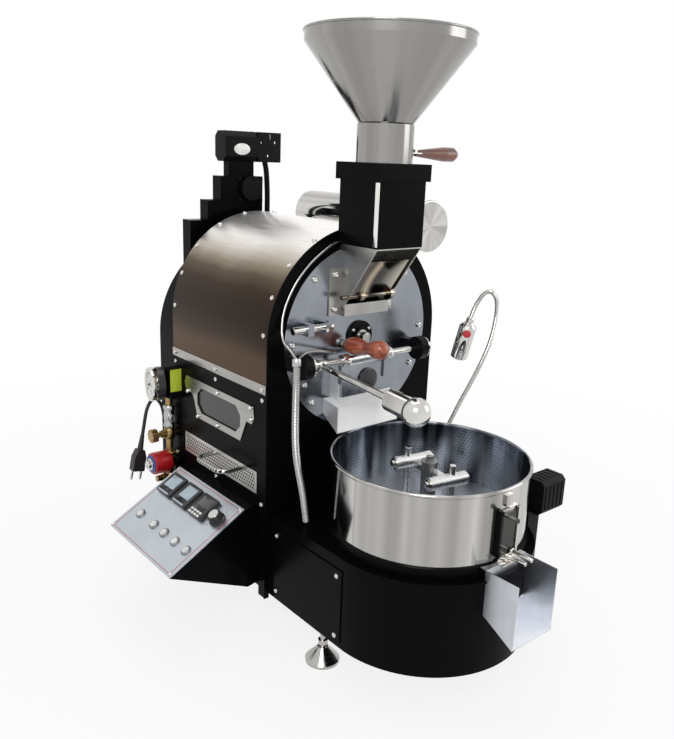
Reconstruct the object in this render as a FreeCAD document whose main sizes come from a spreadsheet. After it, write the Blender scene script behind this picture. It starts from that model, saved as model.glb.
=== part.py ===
import FreeCAD, Part
import math
import os

import Sketcher

# Commercial drum coffee roaster with a round cooling bin: millimetres, +Z up, the front towards -Y.
# Places are measured from the drum's axis (x = 0), the front plate's face (y = 0) and the floor (z = 0).

SIZES = {
    # The frame's origin, at the middle of the machine's box on the floor
    "drum_axis_x": 63.5,
    "front_face_y": 20.0,
    # Clearances and cuts
    "running_gap": 0.3,
    "bearing_gap": 0.05,
    "overrun": 8.0,
    # Arched body
    "arch_radius": 190.0,
    "arch_axis_z": 528.0,
    "skin": 1.6,
    "body_length": 320.0,
    "front_plate_thickness": 5.0,
    "front_plate_edge": 2.0,
    "front_flange_depth": 21.0,
    "front_flange_wall": 2.5,
    "front_opening_radius": 130.0,
    "front_foot_z": 70.0,
    "cover_edge_z": 455.0,
    "strip_height": 16.0,
    "strip_thickness": 1.5,
    # Base
    "base_floor_z": 76.0,
    "base_half_width": 178.0,
    "base_wall": 2.0,
    "base_top_z": 234.0,
    "top_plate_thickness": 4.0,
    "top_plate_overhang": 2.0,
    "plenum_radius": 140.0,
    "access_panel_front_y": -195.0,
    "access_panel_back_y": -12.0,
    "access_panel_low_z": 85.0,
    "access_panel_high_z": 212.0,
    # Levelling feet
    "foot_across": 150.0,
    "foot_front_y": -119.0,
    "foot_behind": -40.0,
    "foot_radius": 29.5,
    "foot_rim": 5.0,
    "foot_waist_radius": 9.0,
    "foot_bell_height": 27.0,
    "foot_rod_radius": 5.0,
    "foot_nut_radius": 9.0,
    "foot_nut_height": 8.0,
    "foot_socket_depth": 10.0,
    # Cooling bin
    "bin_axis_y": -195.0,
    "bin_radius": 162.0,
    "bin_wall": 1.5,
    "bin_low_z": 251.0,
    "bin_high_z": 365.0,
    "bin_rim_radius": 3.0,
    "seat_ring_radius": 166.0,
    "seat_ring_width": 14.0,
    "bin_floor_z": 264.0,
    "bin_floor_thickness": 1.5,
    # Cooling bin gate
    "gate_opening_half": 15.0,
    "gate_opening_high_z": 318.0,
    "gate_frame_half": 22.0,
    "gate_frame_high_z": 337.0,
    "gate_frame_depth": 9.0,
    "gate_rail_width": 5.0,
    "gate_plate_thickness": 2.0,
    "gate_plate_high_z": 331.0,
    "gate_pull_depth": 24.0,
    "gate_pull_height": 2.0,
    "gate_pull_width": 8.0,
    "gate_pull_lip": 6.0,
    "gate_latch_low_z": 340.0,
    "gate_latch_high_z": 366.0,
    "gate_latch_half": 8.0,
    "gate_latch_depth": 4.2,
    # Discharge spout
    "spout_top_z": 250.0,
    "spout_back_y": -366.0,
    "spout_front_y": -425.0,
    "spout_back_low_z": 177.0,
    "spout_front_low_z": 146.0,
    "spout_front_high_z": 250.0,
    "spout_half_width": 46.5,
    "spout_wall": 1.5,
    # Agitator
    "agitator_post_radius": 13.0,
    "agitator_shaft_radius": 10.0,
    "agitator_post_low_z": 270.0,
    "agitator_post_high_z": 353.0,
    "agitator_washer_radius": 14.5,
    "agitator_washer_high_z": 356.0,
    "agitator_nut_radius": 6.5,
    "agitator_nut_high_z": 364.0,
    "agitator_arm_z": 339.0,
    "agitator_arm_width": 14.0,
    "agitator_arm_height": 10.0,
    "agitator_turn": -10.0,
    "clamp_radius": 11.0,
    "clamp_length": 72.0,
    "clamp_reach": 48.0,
    "pin_radius": 5.5,
    "pin_high_z": 362.0,
    "pin_low_z": 268.0,
    "pin_along": -10.0,
    "paddle_width": 46.0,
    "paddle_height": 16.0,
    "paddle_thickness": 3.0,
    # Agitator and fan drives in the base
    "gearmotor_radius": 32.0,
    "gearmotor_low_z": 120.0,
    "gearmotor_high_z": 200.0,
    "gearmotor_hub_radius": 16.0,
    "bridge_width": 40.0,
    "bridge_thickness": 6.0,
    "fan_axis_y": -222.0,
    "fan_axis_z": 232.0,
    "fan_radius": 58.0,
    "fan_left_x": 168.0,
    "fan_right_x": 198.0,
    "fan_outlet_low_z": 150.0,
    "fan_motor_start_x": 172.0,
    "fan_motor_end_x": 232.0,
    "fan_motor_front_y": -302.0,
    "fan_motor_back_y": -256.0,
    "fan_motor_low_z": 249.0,
    "fan_motor_high_z": 311.0,
    "fan_motor_chamfer": 7.0,
    # Face disc
    "disc_radius": 160.0,
    "disc_thickness": 6.0,
    "shaft_opening_radius": 14.0,
    "feed_opening_half": 40.0,
    "feed_opening_low_z": 580.0,
    "feed_opening_high_z": 635.0,
    "door_opening_half": 46.0,
    "door_opening_low_z": 436.0,
    "door_opening_high_z": 480.0,
    # Drum
    "drum_radius": 125.0,
    "drum_wall": 3.0,
    "drum_front_y": 10.0,
    "drum_behind": -20.0,
    "drum_end_thickness": 4.0,
    "drum_spider_y": 170.0,
    "drum_spoke_width": 16.0,
    "drum_hub_radius": 22.0,
    "drum_vane_height": 26.0,
    "drum_shaft_radius": 12.0,
    "drum_shaft_end_radius": 9.0,
    "drum_shaft_front_y": -27.0,
    "drum_shaft_behind": 55.0,
    "bearing_radius": 27.0,
    "bearing_depth": 9.0,
    "bearing_boss_radius": 16.0,
    # Belt drive in the rear housing
    "drum_pulley_radius": 50.0,
    "drive_pulley_radius": 20.0,
    "pulley_groove_depth": 6.0,
    "pulley_width": 14.0,
    "pulley_flange": 2.5,
    "pulley_behind": 38.0,
    "belt_thickness": 5.0,
    "drive_axis_x": 4.0,
    "drive_axis_z": 761.0,
    "drive_shaft_radius": 8.0,
    "drive_shaft_behind": 25.0,
    "drive_cap_radius": 24.0,
    "drive_cap_depth": 9.0,
    "drive_cap_bolt_radius": 3.5,
    "drive_cap_bolt_place": 25.5,
    # Rear housing and its tower
    "housing_depth": 55.0,
    "housing_wall": 2.0,
    "housing_low_z": 150.0,
    "housing_arch_z": 480.0,
    "tower_front_behind": 30.0,
    "tower_back_behind": 60.0,
    "tower_low_z": 440.0,
    "tower_first_left_x": -133.0,
    "tower_first_right_x": 62.0,
    "tower_first_high_z": 700.0,
    "tower_second_left_x": -94.0,
    "tower_right_x": 34.0,
    "tower_second_high_z": 738.0,
    "tower_third_left_x": -65.0,
    "tower_third_high_z": 784.0,
    # Motor on the tower
    "motor_neck_left_x": -43.0,
    "motor_neck_right_x": 16.0,
    "motor_low_z": 812.0,
    "motor_high_z": 870.0,
    "motor_left_x": -56.0,
    "motor_right_x": 21.0,
    "motor_front_behind": 26.0,
    "motor_back_behind": 65.0,
    "motor_chamfer": 10.0,
    "motor_bracket_right_x": 75.0,
    "motor_bracket_thickness": 5.0,
    "motor_bracket_hole_radius": 3.0,
    "motor_bracket_slot_width": 4.0,
    "motor_cable_radius": 5.5,
    # Side panels, window and drawer
    "window_back_y": 226.0,
    "window_front_y": 77.0,
    "window_low_z": 357.0,
    "window_high_z": 406.0,
    "window_frame_thickness": 2.0,
    "glass_thickness": 3.0,
    "glass_margin": 6.0,
    "drawer_front_y": 27.0,
    "drawer_behind": -42.0,
    "drawer_low_z": 262.0,
    "drawer_high_z": 303.0,
    "drawer_depth": 300.0,
    "drawer_wall": 1.2,
    "drawer_lip": 1.5,
    "runner_width": 10.0,
    "runner_inset": 12.0,
    "handle_front_y": 77.0,
    "handle_back_y": 166.0,
    "handle_z": 293.0,
    "handle_reach": 42.0,
    "handle_radius": 4.0,
    # Burner
    "burner_tray_z": 340.0,
    "burner_tray_thickness": 3.0,
    "burner_tray_front_y": 60.0,
    "burner_tray_behind": -30.0,
    "burner_tube_radius": 9.0,
    "burner_pitch": 52.0,
    "burner_port_radius": 1.5,
    "burner_port_pitch": 20.0,
    "manifold_radius": 11.0,
    # Control box and panel
    "control_back_y": 257.6,
    "control_front_y": 27.3,
    "panel_top_x": -214.5,
    "panel_top_z": 239.6,
    "panel_slope": 29.7,
    "panel_length": 166.4,
    "panel_thickness": 2.0,
    "control_wall": 1.5,
    "control_low_x": -206.0,
    "control_low_z": 87.0,
    "control_heel_z": 93.0,
    "control_shoulder_z": 243.0,
    "control_shoulder_run": 22.0,
    "controller_side": 48.0,
    "controller_pitch": 57.0,
    "controller_height": 7.0,
    "controller_top_u": 15.0,
    "controller_first_y": 243.0,
    "controller_screen_depth": 1.0,
    "controller_border": 6.0,
    "knob_u": 42.0,
    "knob_y": 55.0,
    "knob_radius": 12.0,
    "knob_skirt_radius": 14.5,
    "knob_skirt_height": 3.0,
    "knob_height": 15.0,
    "knob_spindle_radius": 3.0,
    "knob_spindle_height": 6.0,
    "button_u": 115.5,
    "button_first_y": 220.4,
    "button_second_y": 167.4,
    "button_pitch": 38.8,
    "button_radius": 6.5,
    "button_ring_radius": 9.0,
    "button_ring_height": 2.5,
    "button_low": 1.2,
    "button_high": 4.0,
    # Hopper
    "hopper_axis_y": -48.5,
    "hopper_rim_radius": 134.0,
    "hopper_rim_height": 15.0,
    "hopper_high_z": 1016.0,
    "hopper_bead_radius": 2.0,
    "hopper_throat_radius": 42.0,
    "hopper_throat_z": 880.0,
    "hopper_wall": 1.5,
    "collar_radius": 46.0,
    "collar_low_z": 822.0,
    "gate_plate_z": 838.0,
    "hopper_gate_thickness": 2.0,
    "hopper_gate_half": 26.0,
    "hopper_gate_reach": 60.0,
    "gate_handle_offset": 9.5,
    "gate_handle_start_x": 60.0,
    "gate_handle_length": 95.0,
    "gate_handle_root_radius": 5.0,
    "gate_handle_neck_radius": 7.5,
    "gate_handle_end_radius": 12.0,
    # Neck box and feed chute
    "neck_half": 50.0,
    "neck_front_y": -97.0,
    "neck_low_z": 690.0,
    "neck_wall": 2.0,
    "neck_cap_half": 56.0,
    "neck_cap_front_y": -102.0,
    "neck_cap_back_y": 5.0,
    "neck_cap_low_z": 795.0,
    "neck_bore_radius": 40.0,
    "chute_front_top_y": -97.0,
    "chute_front_low_y": -24.0,
    "chute_low_z": 590.0,
    "chute_wall": 2.0,
    "chute_flange_half": 72.0,
    "chute_flange_low_z": 570.0,
    "chute_flange_high_z": 650.0,
    "chute_flange_thickness": 3.0,
    "flap_axis_y": -28.0,
    "flap_axis_z": 603.0,
    "flap_rod_radius": 4.0,
    "flap_rod_left_x": -62.0,
    "flap_rod_right_x": 58.0,
    "flap_plate_half": 44.0,
    "flap_plate_length": 80.0,
    "flap_plate_thickness": 1.5,
    "flap_collar_radius": 8.0,
    "flap_collar_length": 9.0,
    "flap_disc_radius": 11.0,
    "flap_disc_length": 6.0,
    # Bean door
    "door_axis_y": -36.0,
    "door_axis_z": 497.0,
    "door_rod_radius": 5.5,
    "door_boss_radius": 21.0,
    "door_boss_length": 16.0,
    "door_boss_left_x": -150.0,
    "door_boss_right_x": 112.0,
    "door_ring_radius": 19.0,
    "door_ring_width": 5.0,
    "door_plate_half": 57.0,
    "door_plate_low_z": 430.0,
    "door_plate_high_z": 484.0,
    "door_plate_thickness": 5.0,
    "door_frame_half": 62.0,
    "door_frame_low_z": 425.0,
    "door_frame_high_z": 486.0,
    "door_frame_depth": 22.0,
    "door_arm_width": 14.0,
    "door_arm_left_x": -63.0,
    "door_arm_right_x": 35.0,
    "door_clamp_radius": 10.0,
    "door_knob_radius": 20.0,
    "door_knob_depth": 4.0,
    "door_knob_z": 455.0,
    "lever_x": -109.0,
    "lever_drop": 4.8,
    "lever_radius": 5.5,
    "lever_length": 227.0,
    "lever_hub_radius": 10.0,
    "lever_hub_width": 14.0,
    "weight_radius": 17.5,
    "weight_length": 42.0,
    "lever_ball_radius": 22.0,
    # Discharge chute under the bean door
    "apron_left_x": -75.0,
    "apron_right_x": 66.0,
    "apron_back_z": 398.0,
    "apron_lip_y": -46.0,
    "apron_lip_z": 371.5,
    "apron_wall": 1.5,
    "apron_side_back_z": 424.0,
    "apron_side_front_z": 418.0,
    # Trier and slide bolt
    "trier_x": -35.0,
    "trier_z": 517.0,
    "trier_rise": 5.4,
    "trier_radius": 6.0,
    "trier_inner_length": 115.0,
    "trier_stand_off": 2.0,
    "trier_ferrule_length": 8.0,
    "trier_handle_length": 100.0,
    "trier_butt_radius": 14.5,
    "trier_waist_radius": 8.5,
    "trier_grip_radius": 15.0,
    "bolt_left_x": -157.0,
    "bolt_length": 80.0,
    "bolt_y": -24.0,
    "bolt_z": 556.0,
    "bolt_radius": 6.5,
    "bolt_slot_width": 5.0,
    "bolt_slot_length": 40.0,
    "bolt_block_width": 12.0,
    "bolt_block_half": 10.0,
    "bolt_guide_length": 60.0,
    # Probe and its armoured conduit
    "sheath_radius": 2.0,
    "conduit_radius": 6.0,
    "conduit_bow": 27.0,
    "conduit_y": -65.0,
    "conduit_x": -151.0,
    "conduit_top_z": 519.0,
    "sheath_start_z": 693.0,
    # Exhaust duct
    "duct_x": 158.0,
    "duct_z": 713.0,
    "duct_radius": 44.0,
    "duct_wall": 1.5,
    "duct_front_y": -10.0,
    "duct_behind": 23.0,
    "duct_bead_radius": 3.0,
    "saddle_length": 24.0,
    "saddle_half_width": 20.0,
    "saddle_first_y": 70.0,
    "saddle_second_behind": -65.0,
    # Gas train at the rear left
    "gas_behind": -1.0,
    "gauge_x": -238.0,
    "gauge_z": 392.0,
    "gauge_radius": 32.0,
    "gauge_depth": 23.0,
    "gauge_stem_radius": 6.0,
    "gauge_turn": -12.6,
    "switch_left_x": -214.0,
    "switch_front_behind": -30.0,
    "switch_back_behind": -8.0,
    "switch_low_z": 366.0,
    "switch_high_z": 426.0,
    "riser_x": -203.0,
    "riser_radius": 6.5,
    "tee_radius": 10.5,
    "tee_z": 288.0,
    "tee_length": 22.0,
    "valve_low_z": 300.0,
    "valve_high_z": 346.0,
    "valve_radius": 10.5,
    "valve_cap_radius": 7.0,
    "valve_cap_length": 9.0,
    "valve_cap_slot": 1.6,
    "valve_stem_radius": 4.0,
    "valve_stem_length": 12.0,
    "knob_cock_length": 13.0,
    "knob_cock_radius": 13.0,
    "knob_cock_x": -244.0,
    "cock_stem_radius": 4.0,
    "solenoid_left_x": -243.0,
    "solenoid_right_x": -206.0,
    "solenoid_radius": 22.0,
    "solenoid_z": 230.0,
    "solenoid_cap_radius": 14.0,
    "solenoid_cap_length": 12.0,
    "solenoid_body_radius": 11.5,
    "inlet_elbow_z": 196.0,
    "inlet_elbow_length": 30.0,
    # Lamp on a gooseneck
    "lamp_x": 165.0,
    "lamp_stem_radius": 4.0,
    "lamp_foot_radius": 14.0,
    "lamp_foot_height": 8.0,
    "lamp_foot_y": -31.0,
    "lamp_reach": 142.0,
    "lamp_rise": 375.0,
    "lamp_neck_radius": 7.0,
    "lamp_head_radius": 15.5,
    "lamp_head_length": 78.0,
    "lamp_head_wall": 2.0,
    # Fasteners
    "screw_radius": 4.5,
    "screw_height": 2.5,
    "small_screw_radius": 3.2,
    "small_screw_height": 1.8,
    "face_bolt_radius": 5.5,
    "face_bolt_height": 4.5,
    # Power cord
    "cord_radius": 3.5,
    "gland_x": 136.0,
    "gland_behind": 28.0,
    "gland_radius": 11.0,
    "gland_length": 18.0,
    "gland_nut_radius": 8.0,
    "gland_nut_length": 12.0,
    "cord_high_z": 344.0,
    "coil_x": 95.0,
    "coil_y": 470.0,
    "coil_outer_radius": 47.5,
    "coil_pitch": 8.8,
    "coil_layer_rise": 7.7,
    "plug_length": 44.0,
    "plug_width": 25.0,
    "plug_depth": 18.0,
    "plug_relief_length": 30.0,
    "plug_relief_radius": 6.0,
    "plug_pin_radius": 2.4,
    "plug_pin_length": 19.0,
    "plug_pin_spacing": 19.0,
}

# Outlines as shares of the sizes that they follow
window_frame_shares = (
    (0.00, 0.00), (1.00, 0.00), (1.07, 0.42), (1.12, 0.58), (1.27, 0.61), (1.32, 0.81),
    (1.27, 1.00), (-0.27, 1.00), (-0.29, 0.70), (-0.24, 0.56), (-0.13, 0.57),
)
face_bolt_shares = (
    (-0.64, 0.66), (0.64, 0.66), (-0.74, -0.45), (-0.64, -0.66), (0.8, -0.42), (-0.91, 0),
    (0.92, 0.02),
)
lamp_shares = (
    (0, 0), (0.1, 0.08), (0.246, 0.197), (0.394, 0.309), (0.539, 0.43), (0.683, 0.536),
    (0.824, 0.648), (0.915, 0.733), (0.979, 0.824), (1, 0.917), (0.979, 0.971), (0.894, 1),
    (0.789, 0.987), (0.704, 0.944), (0.634, 0.896), (0.602, 0.853),
)
motor_bracket_hole_shares = ((0.133, 0.638), (0.746, 0.672), (0.435, 0.216))
motor_cable_shares = (
    (0.09, 0.905), (0.22, 0.875), (0.407, 0.774), (0.593, 0.587), (0.657, 0.321), (0.657, 0),
)
conduit_shares = (
    (0.778, 1.5, 0), (0.926, 0.5, 0.095), (1, 0.17, 0.221), (1, 0.17, 0.382), (0.926, 0.17, 0.523),
    (0.722, 0.17, 0.635), (0.407, 0, 0.768), (0.167, 0, 0.891), (0, 0, 0.9965),
)
sheath_turn_shares = (0.656, 0.73, 0.81, 0.9)
second_sheath_shares = (
    (1.049, 0.862, -0.06), (0.981, 0.738, -0.0438), (0.881, 0.646, -0.0219), (0.719, 0.523, -0.0438),
    (0.525, 0.431, -0.0906), (0.3875, 0.308, -0.1219), (0.328, 0.12, -0.1356),
)
cord_lead_shares = (
    (0, 0, 1), (0, 0, 0.8054), (0.077, 0.035, 0.5914), (0.308, 0.139, 0.3852), (0.615, 0.3, 0.2101),
    (0.923, 0.5, 0.0887), (1, 0.752, 0),
)
cord_tail_shares = (
    (0.211, 0.421, 0.0129), (0.111, 0.253, 0.0032), (-0.032, 0.163, 0), (-0.2, 0.147, 0),
    (-0.4, 0.211, 0), (-0.589, 0.242, 0), (-0.758, 0.232, 0.0059), (-0.879, 0.189, 0.0396),
    (-0.937, 0.147, 0.1101), (-0.953, 0.111, 0.2041), (-0.947, 0.095, 0.3128),
    (-0.942, 0.095, 0.4302), (-0.947, 0.084, 0.5477), (-0.953, 0.084, 0.6652),
    (-0.947, 0.095, 0.7768), (-0.947, 0.116, 0.8708), (-0.974, 0.126, 0.9471),
    (-1.037, 0.105, 0.9883), (-1.11, 0.053, 0.9912), (-1.171, 0.016, 0.9471),
    (-1.2, -0.008, 0.8957), (-1.221, -0.021, 0.8429), (-1.24, -0.021, 0.79),
)
cover_screw_shares = (0.06, 0.27, 0.47, 0.68, 0.88, 1.12, 1.32, 1.53, 1.73, 1.94)

doc = FreeCAD.newDocument("coffee_roaster")
sheet = doc.addObject("Spreadsheet::Sheet", "Sizes")
NODES = []
V = FreeCAD.Vector


class Size:
    """A length as a number and as the text of the expression that a property is bound to."""

    def __init__(self, value, text):
        self.value = value
        self.text = text

    def __add__(self, other):
        other = as_size(other)
        return Size(self.value + other.value, "(%s + %s)" % (self.text, other.text))

    def __radd__(self, other):
        return as_size(other) + self

    def __sub__(self, other):
        other = as_size(other)
        return Size(self.value - other.value, "(%s - %s)" % (self.text, other.text))

    def __rsub__(self, other):
        return as_size(other) - self

    def __mul__(self, share):
        return Size(self.value * share, "(%s * %.9f)" % (self.text, share))

    def __rmul__(self, share):
        return self * share

    def __truediv__(self, count):
        return Size(self.value / count, "(%s / %.9f)" % (self.text, count))

    def __neg__(self):
        return Size(-self.value, "(0 - %s)" % self.text)


def as_size(value):
    if isinstance(value, Size):
        return value
    return Size(float(value), "%.9f" % value)


class SheetSizes:
    """The sheet's cells by their aliases."""

    def __init__(self, values):
        for row, (alias, value) in enumerate(values.items(), start=1):
            sheet.set("A%d" % row, alias)
            sheet.set("B%d" % row, str(value))
            sheet.setAlias("B%d" % row, alias)
            setattr(self, alias, Size(value, "Sizes." + alias))


S = SheetSizes(SIZES)
doc.recompute()


def sine(degrees):
    return math.sin(math.radians(degrees.value))


def cosine(degrees):
    return math.cos(math.radians(degrees.value))


class Seat:
    """A place and a turn that pieces are set out in."""

    def __init__(self, x, y, z, rotation):
        self.origin = (as_size(x), as_size(y), as_size(z))
        self.rotation = rotation

    def spot(self, x, y, z):
        columns = [self.rotation.multVec(V(1, 0, 0))]
        columns.append(self.rotation.multVec(V(0, 1, 0)))
        columns.append(self.rotation.multVec(V(0, 0, 1)))
        result = []
        for index in range(3):
            total = self.origin[index]
            for local, column in zip((x, y, z), columns):
                share = column[index]
                if abs(share) > 1e-9:
                    total = total + as_size(local) * share
            result.append(total)
        return result

    def vector(self, x, y, z):
        return V(*[size.value for size in self.spot(x, y, z)])


FLAT = FreeCAD.Rotation()
WORLD = Seat(S.drum_axis_x, S.front_face_y, 0, FLAT)
TURNS = {
    "X": FreeCAD.Rotation(V(0, 1, 0), 90),
    "-X": FreeCAD.Rotation(V(0, 1, 0), -90),
    "Y": FreeCAD.Rotation(V(1, 0, 0), -90),
    "-Y": FreeCAD.Rotation(V(1, 0, 0), 90),
    "Z": FLAT,
    "-Z": FreeCAD.Rotation(V(1, 0, 0), 180),
}


def seat_at(x, y, z, axis=V(0, 0, 1), degrees=0.0):
    """A seat inside the machine's frame, turned about one axis."""
    spot = WORLD.spot(x, y, z)
    return Seat(spot[0], spot[1], spot[2], FreeCAD.Rotation(axis, degrees))


def bind(obj, prop, size):
    obj.setExpression(prop, as_size(size).text)


def behind(size):
    """A place along Y, measured from the back of the arched body."""
    return S.body_length + size


def put(obj, seat, at, rotation=FLAT):
    obj.Placement = FreeCAD.Placement(seat.vector(*at), seat.rotation.multiply(rotation))
    for letter, size in zip("xyz", seat.spot(*at)):
        bind(obj, "Placement.Base." + letter, size)


def block(x0, x1, y0, y1, z0, z1, seat=WORLD):
    obj = doc.addObject("Part::Box", "Block")
    bind(obj, "Length", as_size(x1) - x0)
    bind(obj, "Width", as_size(y1) - y0)
    bind(obj, "Height", as_size(z1) - z0)
    put(obj, seat, (x0, y0, z0))
    return obj


def rod(radius, length, at, along, seat=WORLD):
    obj = doc.addObject("Part::Cylinder", "Rod")
    bind(obj, "Radius", radius)
    bind(obj, "Height", length)
    put(obj, seat, at, TURNS[along])
    return obj


def taper(radius, end_radius, length, at, along, seat=WORLD):
    obj = doc.addObject("Part::Cone", "Taper")
    bind(obj, "Radius1", radius)
    bind(obj, "Radius2", end_radius)
    bind(obj, "Height", length)
    put(obj, seat, at, TURNS[along])
    return obj


def ball(radius, at, seat=WORLD):
    obj = doc.addObject("Part::Sphere", "Ball")
    bind(obj, "Radius", radius)
    put(obj, seat, at)
    return obj


def bead(ring_radius, radius, at, along, seat=WORLD):
    obj = doc.addObject("Part::Torus", "Bead")
    bind(obj, "Radius1", ring_radius)
    bind(obj, "Radius2", radius)
    put(obj, seat, at, TURNS[along])
    return obj


def join(*pieces):
    obj = doc.addObject("Part::MultiFuse", "Joined")
    obj.Shapes = list(pieces)
    return obj


def cut(piece, *tools):
    obj = doc.addObject("Part::Cut", "CutAway")
    obj.Base = piece
    obj.Tool = tools[0] if len(tools) == 1 else join(*tools)
    return obj


def common(first, second):
    obj = doc.addObject("Part::Common", "Shared")
    obj.Base = first
    obj.Tool = second
    return obj


def together(pieces):
    obj = doc.addObject("Part::Compound", "Together")
    obj.Links = list(pieces)
    return obj


def made(shape, name="Made"):
    obj = doc.addObject("Part::Feature", name)
    obj.Shape = shape
    return obj


def node(obj, label):
    obj.Label = label
    NODES.append(obj)
    return obj


def plane_of(body, role):
    for feature in body.Origin.OriginFeatures:
        if feature.Role == role:
            return feature
    raise ValueError("no plane " + role)


def outline(body, role, points, start):
    """A closed outline of straight lines on one of the body's planes, each corner bound to the sheet."""
    sketch = body.newObject("Sketcher::SketchObject", "Outline")
    sketch.AttachmentSupport = [(plane_of(body, role), "")]
    sketch.MapMode = "FlatFace"
    bind(sketch, "AttachmentOffset.Base.z", start)
    corners = [(as_size(a), as_size(b)) for a, b in points]
    count = len(corners)
    for index in range(count):
        a, b = corners[index]
        c, d = corners[(index + 1) % count]
        sketch.addGeometry(Part.LineSegment(V(a.value, b.value, 0), V(c.value, d.value, 0)), False)
    for index in range(count):
        sketch.addConstraint(Sketcher.Constraint("Coincident", index, 2, (index + 1) % count, 1))
    for index, corner in enumerate(corners):
        for kind, size in zip(("DistanceX", "DistanceY"), corner):
            datum = sketch.addConstraint(Sketcher.Constraint(kind, -1, 1, index, 1, size.value))
            sketch.setExpression("Constraints[%d]" % datum, size.text)
    return sketch


def slab(plane, points, start, end, seat=WORLD):
    """A plate cut to an outline on the XY, XZ or YZ plane, from start to end along the third axis."""
    body = doc.addObject("PartDesign::Body", "Slab")
    backwards = plane == "XZ"
    sketch = outline(body, plane + "_Plane", points, -as_size(start) if backwards else start)
    pad = body.newObject("PartDesign::Pad", "Thickness")
    pad.Profile = sketch
    bind(pad, "Length", as_size(end) - start)
    pad.Reversed = backwards
    body.Tip = pad
    put(body, seat, (0, 0, 0))
    return body


def lathe(points, at, along, seat=WORLD):
    """A turned piece: an outline of radius and height, turned once about the height's axis."""
    body = doc.addObject("PartDesign::Body", "Turned")
    sketch = outline(body, "XZ_Plane", points, 0)
    turn = body.newObject("PartDesign::Revolution", "Turn")
    turn.Profile = sketch
    turn.ReferenceAxis = (sketch, ["V_Axis"])
    turn.Angle = 360.0
    body.Tip = turn
    put(body, seat, at, TURNS[along])
    return body


def rounded_lathe(start, arcs, at, along, seat=WORLD):
    """A turned piece whose outline runs in arcs, each given by a middle and an end as radius and height."""
    here = V(start[0].value, 0, start[1].value)
    edges = [Part.LineSegment(V(0, 0, here.z), here).toShape()]
    for middle, end in arcs:
        there = V(as_size(end[0]).value, 0, as_size(end[1]).value)
        edges.append(Part.Arc(here, V(middle[0].value, 0, middle[1].value), there).toShape())
        here = there
    if here.x > 1e-6:
        edges.append(Part.LineSegment(here, V(0, 0, here.z)).toShape())
    edges.append(Part.LineSegment(V(0, 0, here.z), V(0, 0, as_size(start[1]).value)).toShape())
    face = Part.Face(Part.Wire(edges))
    obj = made(face.revolve(V(0, 0, 0), V(0, 0, 1), 360))
    obj.Placement = FreeCAD.Placement(seat.vector(*at), seat.rotation.multiply(TURNS[along]))
    return obj


def inset(points, wall):
    """The outline moved inwards by the wall, for a convex outline given anticlockwise."""
    corners = [(as_size(a), as_size(b)) for a, b in points]
    count = len(corners)
    result = []
    for index in range(count):
        before = corners[index - 1]
        here = corners[index]
        after = corners[(index + 1) % count]
        normals = []
        for first, second in ((before, here), (here, after)):
            run = (second[0].value - first[0].value, second[1].value - first[1].value)
            length = math.hypot(*run)
            normals.append((-run[1] / length, run[0] / length))
        spread = 1 + normals[0][0] * normals[1][0] + normals[0][1] * normals[1][1]
        across = (normals[0][0] + normals[1][0]) / spread
        up = (normals[0][1] + normals[1][1]) / spread
        result.append((here[0] + wall * across, here[1] + wall * up))
    return result


def bend_radii(points):
    """The radius of each bend: 0.45 of the shorter run, divided by the tangent of half the turn."""
    radii = []
    for index in range(1, len(points) - 1):
        back = points[index - 1] - points[index]
        ahead = points[index + 1] - points[index]
        half_turn = (math.pi - back.getAngle(ahead)) / 2
        radii.append(0.45 * min(back.Length, ahead.Length) / math.tan(half_turn))
    return radii


def route_edges(points):
    """Straight runs joined by tangent arcs through the route's points."""
    edges = []
    here = points[0]
    for index, radius in enumerate(bend_radii(points), start=1):
        corner = points[index]
        back = (points[index - 1] - corner).normalize()
        ahead = (points[index + 1] - corner).normalize()
        half_turn = (math.pi - back.getAngle(ahead)) / 2
        step = radius * math.tan(half_turn)
        start = corner + back * step
        end = corner + ahead * step
        centre_way = (back + ahead).normalize()
        middle = corner + centre_way * (radius / math.cos(half_turn) - radius)
        edges.append(Part.LineSegment(here, start).toShape())
        edges.append(Part.Arc(start, middle, end).toShape())
        here = end
    edges.append(Part.LineSegment(here, points[-1]).toShape())
    return edges


def tube(points, radius, label):
    """A round bar or cord along a route, with its bends and its volume reported."""
    edges = route_edges(points)
    return pipe(edges, radius, label, bend_radii(points))


def pipe(edges, radius, label, radii):
    path = Part.Wire(edges)
    start = path.Edges[0]
    way = start.tangentAt(start.FirstParameter)
    ring = Part.Wire([Part.Circle(start.valueAt(start.FirstParameter), way, radius.value).toShape()])
    solid = path.makePipeShell([ring], True, False)
    wanted = math.pi * radius.value ** 2 * path.Length
    print("%s: length %.0f, volume %.4f of section x length, radii %s" % (
        label, path.Length, solid.Volume / wanted, " ".join("%.0f" % r for r in radii)))
    return made(solid)


def arch(radius, axis_z, low_z, y0, y1):
    """A block with a half-round top, lying along Y."""
    top = rod(radius, as_size(y1) - y0, (0, y0, axis_z), "Y")
    half = common(top, block(-radius, radius, y0, y1, axis_z, axis_z + radius))
    return join(half, block(-radius, radius, y0, y1, low_z, axis_z))


def route(points, seat=WORLD):
    return [seat.vector(*point) for point in points]


def end_seat(points):
    """A seat at a route's end, with +Z along its last run."""
    end = points[-1]
    way = (end - points[-2]).normalize()
    return Seat(end.x, end.y, end.z, FreeCAD.Rotation(V(0, 0, 1), way))


# Base

def base_outline(half_width, floor_z, high_z):
    front = rod(half_width, high_z - floor_z, (0, S.bin_axis_y, floor_z), "Z")
    return join(front, block(-half_width, half_width, S.bin_axis_y, S.body_length, floor_z, high_z))


def base_room():
    """The room that the cabinet and its top plate take, for what is fixed to them."""
    plate_z = S.base_top_z - S.top_plate_thickness
    cabinet = base_outline(S.base_half_width, S.base_floor_z, plate_z)
    return join(cabinet, base_outline(S.base_half_width + S.top_plate_overhang, plate_z, S.base_top_z))


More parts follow.
